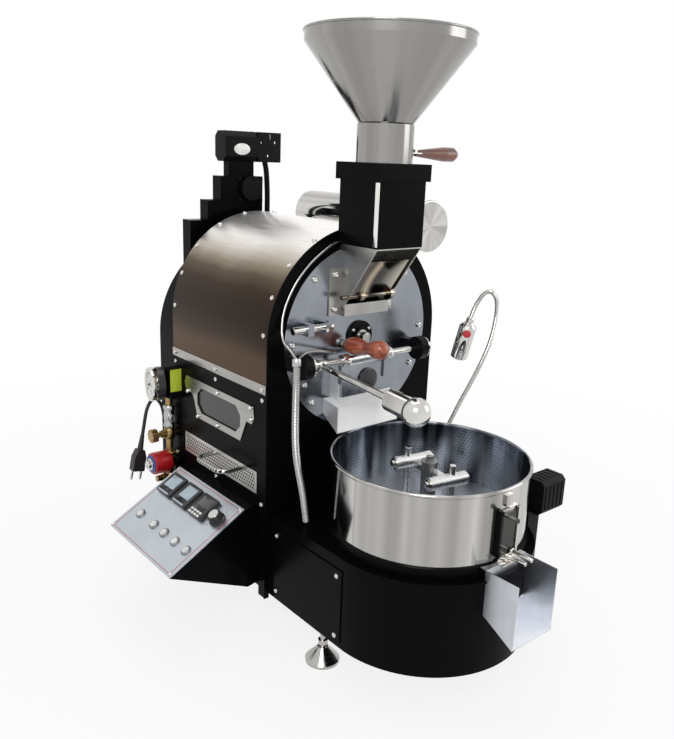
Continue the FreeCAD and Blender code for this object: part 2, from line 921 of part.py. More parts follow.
def base_cabinet():
    plate_z = S.base_top_z - S.top_plate_thickness
    inner = base_outline(S.base_half_width - S.base_wall, S.base_floor_z + S.base_wall, plate_z + S.overrun)
    inner_back = block(-S.base_half_width, S.base_half_width, S.body_length - S.base_wall,
                       S.body_length + S.overrun, S.base_floor_z, plate_z + S.overrun)
    shell = cut(base_outline(S.base_half_width, S.base_floor_z, plate_z), cut(inner, inner_back))
    outer_x = -S.base_half_width - S.base_wall
    panel = block(outer_x, -S.base_half_width, S.access_panel_front_y, S.access_panel_back_y,
                  S.access_panel_low_z, S.access_panel_high_z)
    node(together([shell, panel]), "base_cabinet")


def base_top_plate():
    half_width = S.base_half_width + S.top_plate_overhang
    plate = base_outline(half_width, S.base_top_z - S.top_plate_thickness, S.base_top_z)
    at = (0, S.bin_axis_y, S.base_top_z)
    seat_ring = cut(rod(S.seat_ring_radius, S.bin_low_z - S.base_top_z, at, "Z"),
                    rod(S.seat_ring_radius - S.seat_ring_width, S.bin_low_z - S.base_top_z, at, "Z"))
    hole = rod(S.plenum_radius, S.top_plate_thickness * 2, (0, S.bin_axis_y, S.base_top_z
               - S.top_plate_thickness * 1.5), "Z")
    runners = []
    for y in (S.drawer_front_y + S.runner_inset, behind(S.drawer_behind) - S.runner_inset - S.runner_width):
        runners.append(block(S.skin - S.arch_radius + S.running_gap, S.drawer_depth - S.arch_radius, y,
                             y + S.runner_width, S.base_top_z, S.drawer_low_z))
    node(cut(join(plate, seat_ring, *runners), hole), "base_top_plate")


def levelling_feet():
    pieces = []
    for x in (-S.foot_across, S.foot_across):
        for y in (S.foot_front_y, behind(S.foot_behind)):
            high = S.foot_bell_height
            bell = lathe([(0, 0), (S.foot_radius, 0), (S.foot_radius, S.foot_rim),
                          (S.foot_waist_radius * 1.5, high - S.foot_rim), (S.foot_waist_radius, high),
                          (0, high)], (x, y, 0), "Z")
            rod_low = high - S.foot_socket_depth
            nut_low = high + S.foot_rim
            socket = rod(S.foot_rod_radius, S.foot_socket_depth + S.overrun, (x, y, rod_low), "Z")
            post = rod(S.foot_rod_radius, S.base_floor_z - rod_low, (x, y, rod_low), "Z")
            nut = doc.addObject("Part::Prism", "Nut")
            nut.Polygon = 6
            bind(nut, "Circumradius", S.foot_nut_radius)
            bind(nut, "Height", S.foot_nut_height)
            put(nut, WORLD, (x, y, nut_low))
            pieces.append(cut(bell, socket))
            pieces.append(join(post, nut))
    node(together(pieces), "levelling_feet")


# Cooling bin

def cooling_bin():
    at = (0, S.bin_axis_y, S.bin_low_z)
    height = S.bin_high_z - S.bin_low_z
    wall = cut(rod(S.bin_radius, height, at, "Z"),
               rod(S.bin_radius - S.bin_wall, height + S.overrun, at, "Z"))
    rim_at = (0, S.bin_axis_y, S.bin_high_z)
    rim = bead(S.bin_radius, S.bin_rim_radius, rim_at, "Z")
    front_y = S.bin_axis_y - S.bin_radius
    opening = block(-S.gate_opening_half, S.gate_opening_half, front_y - S.overrun,
                    front_y + S.gate_frame_half, S.bin_floor_z, S.gate_opening_high_z)
    face_y = front_y - S.gate_frame_depth
    frame_block = block(-S.gate_frame_half, S.gate_frame_half, face_y, front_y + S.overrun,
                        S.bin_low_z, S.gate_frame_high_z)
    frame = cut(frame_block, rod(S.bin_radius - S.bin_wall, height + S.overrun, at, "Z"))
    slot_half = S.gate_frame_half - S.gate_rail_width + S.gate_plate_thickness + S.running_gap
    slot_y = face_y + S.gate_plate_thickness
    slot = block(-slot_half, slot_half, slot_y, slot_y + S.gate_plate_thickness + S.running_gap * 2,
                 S.bin_floor_z, S.gate_frame_high_z + S.overrun)
    window_half = S.gate_frame_half - S.gate_rail_width
    window = block(-window_half, window_half, face_y - S.overrun, slot_y + S.running_gap,
                   S.bin_floor_z, S.gate_frame_high_z + S.overrun)
    latch = block(-S.gate_latch_half, S.gate_latch_half, front_y - S.gate_latch_depth,
                  front_y + S.running_gap * 4, S.gate_latch_low_z, S.gate_latch_high_z - S.overrun)
    latch = cut(latch, rod(S.bin_radius - S.bin_wall, height + S.overrun, at, "Z"))
    shell = join(wall, rim, frame, latch)
    node(cut(shell, opening, slot, window), "cooling_bin")


def gate_slide():
    front_y = S.bin_axis_y - S.bin_radius - S.gate_frame_depth
    plate_half = S.gate_frame_half - S.gate_rail_width + S.gate_plate_thickness
    plate_y = front_y + S.gate_plate_thickness + S.running_gap
    plate = block(-plate_half, plate_half, plate_y, plate_y + S.gate_plate_thickness,
                  S.bin_floor_z + S.running_gap, S.gate_plate_high_z)
    pull_x = S.gate_rail_width - S.gate_frame_half + S.running_gap * 2
    pull_end = pull_x + S.gate_pull_width
    pull = block(pull_x, pull_end, plate_y - S.gate_pull_depth, plate_y,
                 S.gate_plate_high_z - S.gate_pull_height, S.gate_plate_high_z)
    pull_lip = block(pull_x, pull_end, plate_y - S.gate_pull_depth,
                     plate_y - S.gate_pull_depth + S.gate_pull_height,
                     S.gate_plate_high_z - S.gate_pull_lip, S.gate_plate_high_z)
    node(join(plate, pull, pull_lip), "gate_slide")


def bin_floor():
    radius = S.bin_radius - S.bin_wall
    at = (0, S.bin_axis_y, S.bin_floor_z - S.bin_floor_thickness)
    disc = rod(radius, S.bin_floor_thickness, at, "Z")
    skirt_low = S.bin_low_z
    skirt_radius = S.seat_ring_radius - S.seat_ring_width
    skirt_at = (0, S.bin_axis_y, skirt_low)
    skirt = cut(rod(skirt_radius + S.bin_floor_thickness, at[2] - skirt_low, skirt_at, "Z"),
                rod(skirt_radius, at[2] - skirt_low, skirt_at, "Z"))
    bore = rod(S.agitator_shaft_radius + S.bearing_gap, S.overrun * 2,
               (0, S.bin_axis_y, S.bin_floor_z - S.overrun), "Z")
    node(cut(join(disc, skirt), bore), "bin_floor")


def discharge_spout():
    wall = S.spout_wall
    back_y = S.spout_back_y
    front_y = S.spout_front_y
    half = S.spout_half_width
    floor = slab("YZ", [(back_y, S.spout_back_low_z), (back_y, S.spout_back_low_z + wall),
                        (front_y, S.spout_front_low_z + wall), (front_y, S.spout_front_low_z)], -half, half)
    sides = []
    for x in (-half, half - wall):
        sides.append(slab("YZ", [(back_y, S.spout_back_low_z), (back_y, S.spout_top_z),
                                 (front_y, S.spout_front_high_z), (front_y, S.spout_front_low_z)],
                          x, x + wall))
    back = block(-half, half, back_y, back_y + wall, S.spout_back_low_z, S.spout_top_z)
    shelf = block(-half, half, back_y, S.bin_axis_y - S.bin_radius + S.gate_frame_half,
                  S.bin_low_z - wall, S.bin_low_z)
    ring = rod(S.seat_ring_radius, S.bin_low_z - S.base_top_z + S.overrun,
               (0, S.bin_axis_y, S.base_top_z - S.overrun), "Z")
    node(cut(join(floor, back, shelf, *sides), ring, base_room()), "discharge_spout")


# Agitator

def agitator_shaft():
    low_z = S.gearmotor_high_z + S.bridge_thickness + S.running_gap
    axis = (0, S.bin_axis_y)
    stem = rod(S.agitator_shaft_radius, S.agitator_post_high_z - low_z, axis + (low_z,), "Z")
    post_low = S.bin_floor_z + S.running_gap
    post = rod(S.agitator_post_radius, S.agitator_post_high_z - post_low, axis + (post_low,), "Z")
    washer = rod(S.agitator_washer_radius, S.agitator_washer_high_z - S.agitator_post_high_z,
                 axis + (S.agitator_post_high_z,), "Z")
    nut = doc.addObject("Part::Prism", "Nut")
    nut.Polygon = 6
    bind(nut, "Circumradius", S.agitator_nut_radius)
    bind(nut, "Height", S.agitator_nut_high_z - S.agitator_washer_high_z)
    put(nut, WORLD, axis + (S.agitator_washer_high_z,))
    node(join(stem, post, washer, nut), "agitator_shaft")


def agitator_arms():
    seat = seat_at(0, S.bin_axis_y, 0, V(0, 0, 1), S.agitator_turn.value)
    half = S.agitator_arm_width / 2
    low_z = S.agitator_arm_z - S.agitator_arm_height / 2
    pieces = []
    post = rod(S.agitator_post_radius, S.agitator_post_high_z, (0, 0, 0), "Z", seat)
    arm = block(-half, half, -S.clamp_reach, S.clamp_reach, low_z, low_z + S.agitator_arm_height, seat)
    clamps = []
    holes = []
    pins = []
    for way in (-1, 1):
        y = S.clamp_reach * way
        x = S.pin_along * way
        clamps.append(rod(S.clamp_radius, S.clamp_length, (-S.clamp_length / 2, y, S.agitator_arm_z), "X",
                          seat))
        holes.append(rod(S.pin_radius, S.pin_high_z, (x, y, 0), "Z", seat))
        pin = rod(S.pin_radius, S.pin_high_z - S.pin_low_z, (x, y, S.pin_low_z), "Z", seat)
        paddle = block(x - S.paddle_width / 2, x + S.paddle_width / 2, y - S.paddle_thickness / 2,
                       y + S.paddle_thickness / 2, S.bin_floor_z + S.running_gap * 2,
                       S.bin_floor_z + S.paddle_height, seat)
        pins.append(join(pin, paddle))
    pieces.append(cut(join(arm, *clamps), post, *holes))
    node(together(pieces + pins), "agitator_arms")


def agitator_gearmotor():
    axis = (0, S.bin_axis_y)
    low_z = S.gearmotor_low_z
    body = rod(S.gearmotor_radius, S.gearmotor_high_z - low_z, axis + (low_z,), "Z")
    span = S.base_half_width - S.base_wall
    bridge = block(-span, span, S.bin_axis_y - S.bridge_width / 2, S.bin_axis_y + S.bridge_width / 2,
                   S.gearmotor_high_z, S.gearmotor_high_z + S.bridge_thickness)
    cheek = rod(span, S.gearmotor_high_z, axis + (S.base_floor_z,), "Z")
    node(join(body, common(bridge, cheek)), "agitator_gearmotor")


def fan_motor():
    """The cooling fan's flat case with its outlet, and its motor's box beside it."""
    width = S.fan_right_x - S.fan_left_x
    case = rod(S.fan_radius, width, (S.fan_left_x, S.fan_axis_y, S.fan_axis_z), "X")
    outlet = block(S.fan_left_x, S.fan_right_x, S.fan_axis_y - S.fan_radius, S.fan_axis_y,
                   S.fan_outlet_low_z, S.fan_axis_z)
    y0 = S.fan_motor_front_y
    y1 = S.fan_motor_back_y
    z0 = S.fan_motor_low_z
    z1 = S.fan_motor_high_z
    edge = S.fan_motor_chamfer
    box = slab("YZ", [(y0 + edge, z0), (y1 - edge, z0), (y1, z0 + edge), (y1, z1 - edge), (y1 - edge, z1),
                      (y0 + edge, z1), (y0, z1 - edge), (y0, z0 + edge)],
               S.fan_motor_start_x, S.fan_motor_end_x)
    node(cut(join(case, outlet, box), base_room()), "fan_motor")


# Arched body

def front_plate():
    thickness = S.front_plate_thickness
    edge_y = S.front_plate_edge
    inner_radius = S.arch_radius - S.skin
    low_z = S.front_foot_z
    face = arch(S.arch_radius, S.arch_axis_z, low_z, 0, edge_y)
    flange = arch(inner_radius, S.arch_axis_z, low_z, edge_y, S.front_flange_depth)
    hollow = arch(inner_radius - S.front_flange_wall, S.arch_axis_z, low_z - S.overrun, thickness,
                  S.front_flange_depth + S.overrun)
    opening = rod(S.front_opening_radius, thickness * 2, (0, -thickness / 2, S.arch_axis_z), "Y")
    half_width = S.base_half_width + S.top_plate_overhang
    notch = block(-half_width, half_width, -S.overrun, S.front_flange_depth + S.overrun,
                  low_z - S.overrun, S.base_top_z)
    node(cut(join(face, flange), hollow, opening, notch), "front_plate")


def side_panel(label, way):
    inner_x = (S.arch_radius - S.skin) * way
    outer_x = S.arch_radius * way
    low_x, high_x = (outer_x, inner_x) if way < 0 else (inner_x, outer_x)
    panel = block(low_x, high_x, S.front_plate_edge, S.body_length, S.base_top_z, S.cover_edge_z)
    if way > 0:
        node(panel, label)
        return
    window = block(outer_x - S.overrun, inner_x + S.overrun, S.window_front_y, S.window_back_y,
                   S.window_low_z, S.window_high_z)
    drawer = block(outer_x - S.overrun, inner_x + S.overrun, S.drawer_front_y, behind(S.drawer_behind),
                   S.drawer_low_z, S.drawer_high_z)
    node(cut(panel, window, drawer), label)


def outer_cover():
    y0 = S.front_plate_edge
    shell = arch(S.arch_radius, S.arch_axis_z, S.cover_edge_z, y0, S.body_length)
    inner = arch(S.arch_radius - S.skin, S.arch_axis_z, S.cover_edge_z - S.overrun, y0 - S.overrun,
                 S.body_length + S.overrun)
    node(cut(shell, inner), "outer_cover")


def rear_housing():
    wall = S.housing_wall
    y0 = S.body_length
    y1 = y0 + S.housing_depth
    shell = arch(S.arch_radius, S.housing_arch_z, S.housing_low_z, y0, y1)
    inner = arch(S.arch_radius - wall, S.housing_arch_z, S.housing_low_z + wall, y0 + wall, y1 - wall)
    end_wall = arch(S.arch_radius - S.skin, S.arch_axis_z, S.base_top_z, y0 - wall, y0)
    levels = (
        (S.tower_first_left_x, S.tower_first_right_x, S.tower_low_z, S.tower_first_high_z),
        (S.tower_second_left_x, S.tower_right_x, S.tower_first_high_z, S.tower_second_high_z),
        (S.tower_third_left_x, S.tower_right_x, S.tower_second_high_z, S.tower_third_high_z),
    )
    tower = []
    rooms = []
    for index, (left, right, low, high) in enumerate(levels):
        tower.append(block(left, right, behind(S.tower_front_behind), behind(S.tower_back_behind), low, high))
        room_low = low + wall if index == 0 else low - wall
        rooms.append(block(left + wall, right - wall, behind(S.tower_front_behind) + wall,
                           behind(S.tower_back_behind) - wall,
                           room_low, high - wall))
    bore = rod(S.drum_shaft_radius + S.running_gap, wall * 4, (0, y0 - wall * 2, S.arch_axis_z), "Y")
    drive_bore = rod(S.drive_shaft_radius + S.bearing_gap, wall * 4,
                     (S.drive_axis_x, behind(S.tower_front_behind) - wall, S.drive_axis_z), "Y")
    neck = block(S.motor_neck_left_x, S.motor_neck_right_x, behind(S.motor_front_behind) + S.motor_chamfer,
                 behind(S.motor_back_behind) - S.motor_chamfer, S.tower_third_high_z, S.motor_low_z)
    shell = join(shell, end_wall, neck, *tower)
    node(cut(shell, inner, bore, drive_bore, *rooms), "rear_housing")


def strip_and_screws():
    pieces = []
    for way in (-1, 1):
        face_x = S.arch_radius * way
        out_x = (S.arch_radius + S.strip_thickness) * way
        low_x, high_x = (out_x, face_x) if way < 0 else (face_x, out_x)
        low_z = S.cover_edge_z - S.strip_height / 2
        pieces.append(block(low_x, high_x, S.front_plate_edge, S.body_length, low_z,
                            low_z + S.strip_height))
    margin = S.screw_radius * 2.4
    rows = (margin, S.body_length / 2, S.body_length - margin)
    strip_z = S.cover_edge_z
    below_strip = S.cover_edge_z - S.strip_height / 2 - margin
    low_row = S.control_shoulder_z + margin / 2
    for way, along in ((-1, "-X"), (1, "X")):
        face_x = S.arch_radius * way
        for y in rows:
            pieces.append(screw((S.strip_thickness * way + face_x, y, strip_z), along))
            pieces.append(screw((face_x, y, below_strip), along))
            pieces.append(screw((face_x, y, low_row), along))
    base_x = -S.base_half_width - S.base_wall
    for y in (S.access_panel_front_y + margin, S.access_panel_back_y - margin):
        for z in (S.access_panel_low_z + margin, S.access_panel_high_z - margin):
            pieces.append(screw((base_x, y, z), "-X"))
    for y in (margin, S.body_length - margin):
        for share in cover_screw_shares:
            seat = seat_at(0, 0, S.arch_axis_z, V(0, 1, 0), -90.0 * (1 - share))
            pieces.append(screw((0, y, S.arch_radius), "Z", seat))
    for across, up in face_bolt_shares:
        at = (S.disc_radius * across, -S.disc_thickness, S.arch_axis_z + S.disc_radius * up)
        pieces.append(rod(S.face_bolt_radius, S.face_bolt_height, at, "-Y"))
    flange_x = (S.neck_half + S.chute_flange_half) / 2
    flange_y = -S.disc_thickness - S.chute_flange_thickness
    for x in (-flange_x, flange_x):
        for z in (S.chute_flange_low_z + margin, S.chute_flange_high_z - margin):
            pieces.append(rod(S.face_bolt_radius, S.face_bolt_height, (x, flange_y, z), "-Y"))
    frame_x = -S.arch_radius - S.window_frame_thickness
    for across, up in window_frame_shares[1:2] + window_frame_shares[4:5] + window_frame_shares[7:9]:
        at = window_spot(across * 0.94 + 0.03, up * 0.9 + 0.05)
        pieces.append(rod(S.small_screw_radius, S.small_screw_height, (frame_x,) + at, "-X"))
    seat = panel_seat()
    for u in (margin / 2, S.panel_length - margin / 2):
        for y in (S.control_front_y + margin / 2, S.control_back_y - margin / 2):
            pieces.append(rod(S.small_screw_radius, S.small_screw_height, (-u, y, 0), "Z", seat))
    node(together(pieces), "strips_and_screws")


def screw(at, along, seat=WORLD):
    return rod(S.screw_radius, S.screw_height, at, along, seat)


def face_disc():
    y0 = -S.disc_thickness
    disc = rod(S.disc_radius, S.disc_thickness, (0, y0, S.arch_axis_z), "Y")
    depth = S.disc_thickness + S.overrun
    shaft_hole = rod(S.shaft_opening_radius, depth, (0, y0 - S.overrun / 2, S.arch_axis_z), "Y")
    feed = block(-S.feed_opening_half, S.feed_opening_half, y0 - S.overrun, S.overrun,
                 S.feed_opening_low_z, S.feed_opening_high_z)
    door = block(-S.door_opening_half, S.door_opening_half, y0 - S.overrun, S.overrun,
                 S.door_opening_low_z, S.door_opening_high_z)
    seat = trier_seat()
    bore = rod(S.trier_radius + S.bearing_gap, S.overrun * 4, (0, 0, -S.overrun * 3), "Z", seat)
    node(join(cut(disc, shaft_hole, feed, door, bore), bolt_guide()), "face_disc")


def bearings():
    bore_radius = S.drum_shaft_radius + S.bearing_gap
    pieces = []
    front_y = -S.disc_thickness
    flange = rod(S.bearing_radius, S.bearing_depth / 2, (0, front_y, S.arch_axis_z), "-Y")
    boss = rod(S.bearing_boss_radius, S.bearing_depth, (0, front_y, S.arch_axis_z), "-Y")
    hole = rod(bore_radius, S.bearing_depth * 3, (0, front_y - S.bearing_depth * 2, S.arch_axis_z), "Y")
    pieces.append(cut(join(flange, boss), hole))
    back_y = S.body_length + S.housing_wall
    flange = rod(S.bearing_radius, S.bearing_depth / 2, (0, back_y, S.arch_axis_z), "Y")
    boss = rod(S.bearing_boss_radius, S.bearing_depth, (0, back_y, S.arch_axis_z), "Y")
    hole = rod(bore_radius, S.bearing_depth * 3, (0, back_y - S.bearing_depth, S.arch_axis_z), "Y")
    pieces.append(cut(join(flange, boss), hole))
    for x in (S.door_boss_left_x, S.door_boss_right_x):
        boss = rod(S.door_boss_radius, S.door_boss_length, (x, S.door_axis_y, S.door_axis_z), "X")
        half = S.door_boss_radius * 0.6
        foot = block(x, x + S.door_boss_length, S.door_axis_y, -S.disc_thickness,
                     S.door_axis_z - half, S.door_axis_z + half)
        hole = rod(S.door_rod_radius + S.bearing_gap, S.door_boss_length + S.overrun * 2,
                   (x - S.overrun, S.door_axis_y, S.door_axis_z), "X")
        pieces.append(cut(join(boss, foot), hole))
    cap = rod(S.drive_cap_radius, S.drive_cap_depth,
              (S.drive_axis_x, behind(S.tower_front_behind), S.drive_axis_z), "-Y")
    end_y = behind(S.drive_shaft_behind) - S.running_gap
    socket = rod(S.drive_shaft_radius + S.bearing_gap, S.drive_cap_depth,
                 (S.drive_axis_x, end_y, S.drive_axis_z), "Y")
    pieces.append(cut(cap, socket))
    node(together(pieces), "bearings")


# Drum and its drive

def drum():
    y0 = S.drum_front_y
    y1 = behind(S.drum_behind)
    axis_z = S.arch_axis_z
    inner_radius = S.drum_radius - S.drum_wall
    shell = cut(rod(S.drum_radius, y1 - y0, (0, y0, axis_z), "Y"),
                rod(inner_radius, y1 - y0, (0, y0, axis_z), "Y"))
    back = rod(inner_radius, S.drum_end_thickness, (0, y1 - S.drum_end_thickness, axis_z), "Y")
    half = S.drum_spoke_width / 2
    spoke_y = S.drum_spider_y
    pieces = [shell, back]
    for count in range(3):
        seat = seat_at(0, 0, axis_z, V(0, 1, 0), 120.0 * count)
        pieces.append(block(-half, half, spoke_y, spoke_y + S.drum_end_thickness, 0, inner_radius
                            + S.drum_wall / 2, seat))
    for count in range(4):
        seat = seat_at(0, 0, axis_z, V(0, 1, 0), 90.0 * count + 45.0)
        pieces.append(block(-S.drum_wall / 2, S.drum_wall / 2, y0 + S.overrun * 5, y1 - S.drum_end_thickness,
                            inner_radius - S.drum_vane_height, inner_radius + S.drum_wall / 2, seat))
    hub = rod(S.drum_hub_radius, S.drum_spoke_width, (0, spoke_y, axis_z), "Y")
    back_hub = rod(S.drum_hub_radius, S.drum_spoke_width, (0, y1 - S.drum_spoke_width, axis_z), "Y")
    bore = rod(S.drum_shaft_radius, y1 - y0 + S.overrun, (0, y0, axis_z), "Y")
    node(cut(join(hub, back_hub, *pieces), bore), "drum")


def pulley(radius, bore_radius, x, z):
    """A grooved wheel lying along Y, as its outline of radius and width."""
    flange = S.pulley_flange
    groove = radius - S.pulley_groove_depth
    width = S.pulley_width
    return lathe([(bore_radius, 0), (radius, 0), (radius, flange), (groove, flange),
                  (groove, width - flange), (radius, width - flange), (radius, width),
                  (bore_radius, width)], (x, behind(S.pulley_behind), z), "Y")


def drum_shaft():
    y0 = S.drum_shaft_front_y
    main_y = -S.disc_thickness - S.bearing_depth
    main = rod(S.drum_shaft_radius, behind(S.drum_shaft_behind) - main_y, (0, main_y, S.arch_axis_z), "Y")
    end = rod(S.drum_shaft_end_radius, main_y - y0, (0, y0, S.arch_axis_z), "Y")
    wheel = pulley(S.drum_pulley_radius, S.drum_shaft_radius, as_size(0), S.arch_axis_z)
    node(together([join(main, end), wheel]), "drum_shaft")


def drive_pulley():
    y0 = behind(S.drive_shaft_behind)
    shaft = rod(S.drive_shaft_radius, behind(S.drum_shaft_behind) - y0, (S.drive_axis_x, y0, S.drive_axis_z),
                "Y")
    wheel = pulley(S.drive_pulley_radius, S.drive_shaft_radius / 2, S.drive_axis_x, S.drive_axis_z)
    node(join(shaft, wheel), "drive_pulley")


def belt_loop(drum_radius, drive_radius):
    """The outline round both pulleys: two arcs and the two lines that touch them."""
    drum_at = WORLD.vector(0, 0, S.arch_axis_z)
    drive_at = WORLD.vector(S.drive_axis_x, 0, S.drive_axis_z)
    run = drive_at - drum_at
    lean = math.asin((drum_radius - drive_radius) / run.Length)
    heading = math.atan2(run.z, run.x)
    touch = []
    for way in (-1, 1):
        angle = heading + way * (math.pi / 2 - lean)
        across = V(math.cos(angle), 0, math.sin(angle))
        touch.append((drum_at + across * drum_radius, drive_at + across * drive_radius))
    far = run.normalize()
    drive_end = drive_at + far * drive_radius
    drum_end = drum_at - far * drum_radius
    edges = [Part.LineSegment(touch[0][0], touch[0][1]).toShape()]
    edges.append(Part.Arc(touch[0][1], drive_end, touch[1][1]).toShape())
    edges.append(Part.LineSegment(touch[1][1], touch[1][0]).toShape())
    edges.append(Part.Arc(touch[1][0], drum_end, touch[0][0]).toShape())
    return Part.Face(Part.Wire(edges))


def drive_belt():
    drum_radius = (S.drum_pulley_radius - S.pulley_groove_depth + S.running_gap).value
    drive_radius = (S.drive_pulley_radius - S.pulley_groove_depth + S.running_gap).value
    thickness = S.belt_thickness.value
    band = belt_loop(drum_radius + thickness, drive_radius + thickness).cut(belt_loop(drum_radius, drive_radius))
    start = behind(S.pulley_behind) + S.pulley_flange + S.running_gap
    width = S.pulley_width - S.pulley_flange * 2 - S.running_gap * 2
    band.translate(V(0, start.value, 0))
    node(made(band.extrude(V(0, width.value, 0))), "drive_belt")


def drive_motor():
    x0 = S.motor_left_x
    chamfer = S.motor_chamfer
    y0 = behind(S.motor_front_behind)
    y1 = behind(S.motor_back_behind)
    z0 = S.motor_low_z
    z1 = S.motor_high_z
    body = slab("YZ", [(y0 + chamfer, z0), (y1 - chamfer, z0), (y1, z0 + chamfer), (y1, z1 - chamfer),
                       (y1 - chamfer, z1), (y0 + chamfer, z1), (y0, z1 - chamfer), (y0, z0 + chamfer)],
                x0, S.motor_right_x)
    plate = block(S.motor_right_x, S.motor_bracket_right_x, y0, y0 + S.motor_bracket_thickness, z0, z1)
    web = block(S.motor_right_x, S.motor_right_x + S.motor_bracket_thickness, y0, y1, z0, z1)
    holes = []
    reach = S.motor_bracket_right_x - S.motor_right_x
    for across, up in motor_bracket_hole_shares:
        at = (S.motor_right_x + reach * across, y0 - S.overrun, z0 + (z1 - z0) * up)
        holes.append(rod(S.motor_bracket_hole_radius, S.motor_bracket_thickness + S.overrun * 2, at, "Y"))
    slot_x = S.motor_right_x + reach / 2
    holes.append(block(slot_x, slot_x + S.motor_bracket_slot_width, y0 - S.overrun,
                       y0 + S.motor_bracket_thickness + S.overrun, z1 - chamfer * 1.3, z1 - chamfer * 0.3))
    bolts = []
    for across in (-1, 1):
        for up in (-1, 1):
            at = (S.drive_axis_x + S.drive_cap_bolt_place * across, behind(S.tower_front_behind),
                  S.drive_axis_z - S.bearing_boss_radius * 0.2 + S.drive_cap_bolt_place * 0.8 * up)
            bolts.append(rod(S.drive_cap_bolt_radius, S.screw_height, at, "-Y"))
    middle_y = (y0 + y1) / 2
    rise = z1 - S.tower_first_high_z
    cable_spots = []
    for across, up in motor_cable_shares:
        cable_spots.append((S.motor_right_x + reach * across, middle_y, S.tower_first_high_z + rise * up))
    cable_spots[0] = (S.motor_right_x + S.motor_bracket_thickness,) + cable_spots[0][1:]
    cable_points = route(cable_spots)
    cable = tube(cable_points, S.motor_cable_radius, "motor cable")
    node(together([join(cut(join(body, plate), *holes), web), cable] + bolts), "drive_motor")


# Burner, window and drawer

def burner():
    z0 = S.burner_tray_z
    half = S.arch_radius - S.skin
    tray = block(-half, half, S.burner_tray_front_y, behind(S.burner_tray_behind), z0, z0 + S.burner_tray_thickness)
    axis_z = z0 + S.burner_tray_thickness + S.manifold_radius * 0.9
    reach = S.burner_pitch * 2
    pieces = [tray]
    pieces.append(rod(S.manifold_radius, reach * 2, (-reach, behind(S.burner_tray_behind) - S.manifold_radius * 2,
                                                     axis_z), "X"))
    ports = []
    length = behind(S.burner_tray_behind) - S.burner_tray_front_y - S.manifold_radius * 4
    count = int(length.value // S.burner_port_pitch.value)
    for step in (-1.5, -0.5, 0.5, 1.5):
        x = S.burner_pitch * step
        start = S.burner_tray_front_y + S.manifold_radius
        pieces.append(rod(S.burner_tube_radius, behind(S.burner_tray_behind) - S.manifold_radius * 2 - start,
                          (x, start, axis_z), "Y"))
        for index in range(count):
            at = (x, start + S.burner_port_pitch * (index + 0.5), axis_z)
            ports.append(rod(S.burner_port_radius, S.burner_tube_radius + S.overrun, at, "Z"))
    leg = S.manifold_radius / 2
    for x in (-S.burner_pitch * 1.5, S.burner_pitch * 1.5):
        pieces.append(block(x - leg, x + leg, behind(S.burner_tray_behind) - S.manifold_radius * 2.6,
                            behind(S.burner_tray_behind) - S.manifold_radius * 1.4, z0, axis_z))
    node(cut(join(*pieces), join(*ports)), "burner")


def window_spot(along, up):
    y = S.window_front_y + (S.window_back_y - S.window_front_y) * along
    z = S.window_low_z - S.glass_margin * 2 + (S.window_high_z - S.window_low_z + S.glass_margin * 4) * up
    return (y, z)


def window_frame():
    points = [window_spot(along, up) for along, up in window_frame_shares]
    outer_x = -S.arch_radius - S.window_frame_thickness
    plate = slab("YZ", points, outer_x, -S.arch_radius)
    corner = (S.window_high_z - S.window_low_z) * 0.3
    y0 = S.window_front_y
    y1 = S.window_back_y
    hole_points = [(y0 + corner, S.window_low_z), (y1 - corner, S.window_low_z), (y1, S.window_low_z + corner),
                   (y1, S.window_high_z - corner), (y1 - corner, S.window_high_z),
                   (y0 + corner, S.window_high_z), (y0, S.window_high_z - corner),
                   (y0, S.window_low_z + corner)]
    hole = slab("YZ", hole_points, outer_x - S.overrun, -S.arch_radius + S.overrun)
    node(cut(plate, hole), "window_frame")


def window_glass():
    margin = S.glass_margin
    x = S.skin - S.arch_radius
    node(block(x, x + S.glass_thickness, S.window_front_y - margin, S.window_back_y + margin,
               S.window_low_z - margin, S.window_high_z + margin), "window_glass")


def chaff_drawer():
    gap = S.running_gap * 2
    outer_x = -S.arch_radius
    wall = S.drawer_wall
    y0 = S.drawer_front_y + gap
    y1 = behind(S.drawer_behind) - gap
    z0 = S.drawer_low_z + S.running_gap
    z1 = S.drawer_high_z - gap
    tray = block(outer_x, outer_x + S.drawer_depth, y0, y1, z0, z1)
    room = block(outer_x + S.drawer_lip, outer_x + S.drawer_depth - wall, y0 + wall, y1 - wall, z0 + wall,
                 z1 + S.overrun)
    reach = S.handle_reach
    z = S.handle_z
    front = S.handle_front_y
    back = S.handle_back_y
    bend = S.handle_radius * 3
    points = route((
        (outer_x, front, z), (outer_x - reach + bend, front, z), (outer_x - reach, front + bend, z),
        (outer_x - reach, back - bend, z), (outer_x - reach + bend, back, z), (outer_x, back, z)))
    handle = tube(points, S.handle_radius, "drawer handle")
    node(join(cut(tray, room), handle), "chaff_drawer")


# Control box

def panel_seat():
    """The panel's upper edge and face: -X runs down the slope, +Z stands off the face."""
    return seat_at(S.panel_top_x, 0, S.panel_top_z, V(0, 1, 0), -S.panel_slope.value)


def control_outline():
    thick = S.panel_thickness
    down = sine(S.panel_slope)
    along = cosine(S.panel_slope)
    top = (S.panel_top_x + thick * down, S.panel_top_z - thick * along)
    low = (top[0] - S.panel_length * along, top[1] - S.panel_length * down)
    side_x = -S.base_half_width
    plate_z = S.base_top_z - S.top_plate_thickness
    return [(side_x, S.control_heel_z), (side_x, plate_z), (-S.arch_radius, plate_z),
            (-S.arch_radius, S.control_shoulder_z), top, low, (S.control_low_x, S.control_low_z)]


def control_box():
    points = control_outline()
    y0 = S.control_front_y
    y1 = S.control_back_y
    outer = slab("XZ", points, y0, y1)
    inner = slab("XZ", inset(points, S.control_wall), y0 + S.control_wall, y1 - S.control_wall)
    node(cut(outer, inner), "control_box")


